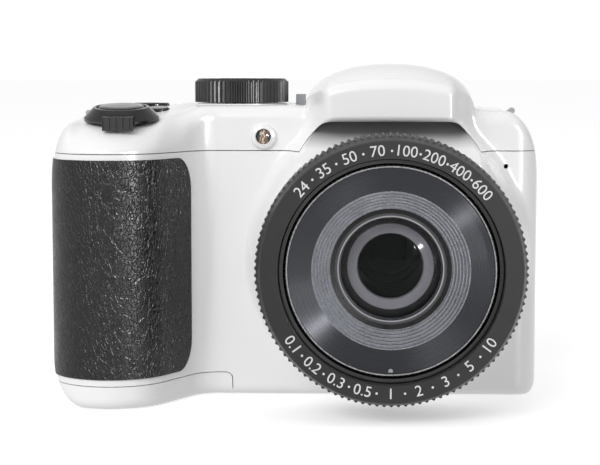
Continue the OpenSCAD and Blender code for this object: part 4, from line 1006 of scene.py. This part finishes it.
# Figures on the dial, signs on the keys at the back
DIAL_STOPS, FIGURE_R, FIGURE_H = 9, 8.2, 2.4
dial_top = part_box("mode_dial")[1][2] / MM
marks = []
for i in range(DIAL_STOPS):
    a = math.radians(360 / DIAL_STOPS * i)
    up = (math.sin(a), -math.cos(a), 0)
    spot = (DIAL[0] + FIGURE_R * up[0], DIAL[1] + FIGURE_R * up[1], dial_top)
    marks.append((outline_of(str(i + 1), FIGURE_H), spot, (math.cos(a), math.sin(a), 0), up))
inlay("dial_numbers", "mode_dial", "number_white", marks)


def key_sign(name, node, *shapes):
    """Sign in the middle of a key, read from behind the camera."""
    low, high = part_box(node)
    centre = ((low[0] + high[0]) / 2 / MM, high[1] / MM, (low[2] + high[2]) / 2 / MM)
    inlay(name, node, "number_white", [(shape, centre, (-1, 0, 0), (0, 0, 1)) for shape in shapes])


key_sign("menu_sign", "menu_button", *[bar(-1.2, 1.2, y - 0.16, y + 0.16) for y in (-0.8, 0.0, 0.8)])
key_sign("delete_sign", "delete_button", bar(-1.0, 1.0, 0.7, 0.95),
         plate([(-0.65, -1.0), (0.65, -1.0), (0.8, 0.5), (-0.8, 0.5)]))
key_sign("play_sign", "play_button", plate([(-0.75, -1.0), (1.05, 0.0), (-0.75, 1.0)]))

# Floor, camera and studio light
CAMERA_AT, PITCH, YAW, LENS = (-6.17, -448.0, 82.0), 5.46, 2.15, 103.4
FLOOR_GLOW, FLOOR_DROP, SKY, BACKDROP = 0.36, 0.0002, 0.66, 1.1
BACKDROP_FROM, BACKDROP_FULL = 0.90, 0.97    # cosine to the view ahead, where the backdrop fades in
floor_mesh = bpy.data.meshes.new("floor")
floor_mesh.from_pydata([(-6, -3, 0), (6, -3, 0), (6, 12, 0), (-6, 12, 0)], [], [(0, 1, 2, 3)])
floor = bpy.data.objects.new("floor", floor_mesh)
floor.location.z = -FLOOR_DROP
scene.collection.objects.link(floor)
floor_mesh.materials.append(plain("floor_white", (0.9, 0.9, 0.9), 0.8, 0.0, Emission_Color=(1, 1, 1, 1),
                                  Emission_Strength=FLOOR_GLOW))
floor.visible_diffuse = False

camera = bpy.data.cameras.new("view")
camera.sensor_width, camera.lens, camera.clip_start = 36, LENS, 0.01
viewer = bpy.data.objects.new("view", camera)
viewer.location = [v * MM for v in CAMERA_AT]
viewer.rotation_euler = (math.radians(90 - PITCH), 0, math.radians(YAW))
scene.collection.objects.link(viewer)
scene.camera = viewer

world = bpy.data.worlds.new("studio")
world.use_nodes = True
sky = world.node_tree
sky.nodes["Background"].inputs["Color"].default_value = (1, 1, 1, 1)
kinds = ("TexCoord", "SeparateXYZ", "MapRange")
towards, part, fade = [sky.nodes.new("ShaderNode" + kind) for kind in kinds]
limits = {"From Min": BACKDROP_FROM, "From Max": BACKDROP_FULL, "To Min": SKY, "To Max": BACKDROP}
for key, value in limits.items():
    fade.inputs[key].default_value = value
sky.links.new(towards.outputs["Generated"], part.inputs["Vector"])
sky.links.new(part.outputs["Y"], fade.inputs["Value"])
sky.links.new(fade.outputs["Result"], sky.nodes["Background"].inputs["Strength"])
scene.world = world
scene.view_settings.view_transform = "Standard"


AIM = (-0.02, -0.02, 0.04)


def area(name, at, size, power, sheen_only=False):
    """Soft light aimed at the object. With sheen_only it shows in gloss and lights no matt surface."""
    light = bpy.data.lights.new(name, "AREA")
    light.shape, light.size, light.size_y, light.energy = "RECTANGLE", size[0], size[1], power
    obj = bpy.data.objects.new(name, light)
    obj.location = at
    obj.rotation_euler = (Vector(AIM) - Vector(at)).to_track_quat("-Z", "Y").to_euler()
    obj.visible_diffuse = not sheen_only
    scene.collection.objects.link(obj)


area("top", (-0.15, -0.30, 0.85), (1.0, 0.7), 0.5)
area("front", (-0.50, -0.98, 0.66), (0.7, 0.5), 8.0)
area("strip", (0.62, -0.75, 0.1), (0.07, 0.8), 15.0, sheen_only=True)
area("glint", (0.53, -1.10, 0.28), (0.04, 0.04), 8.0, sheen_only=True)
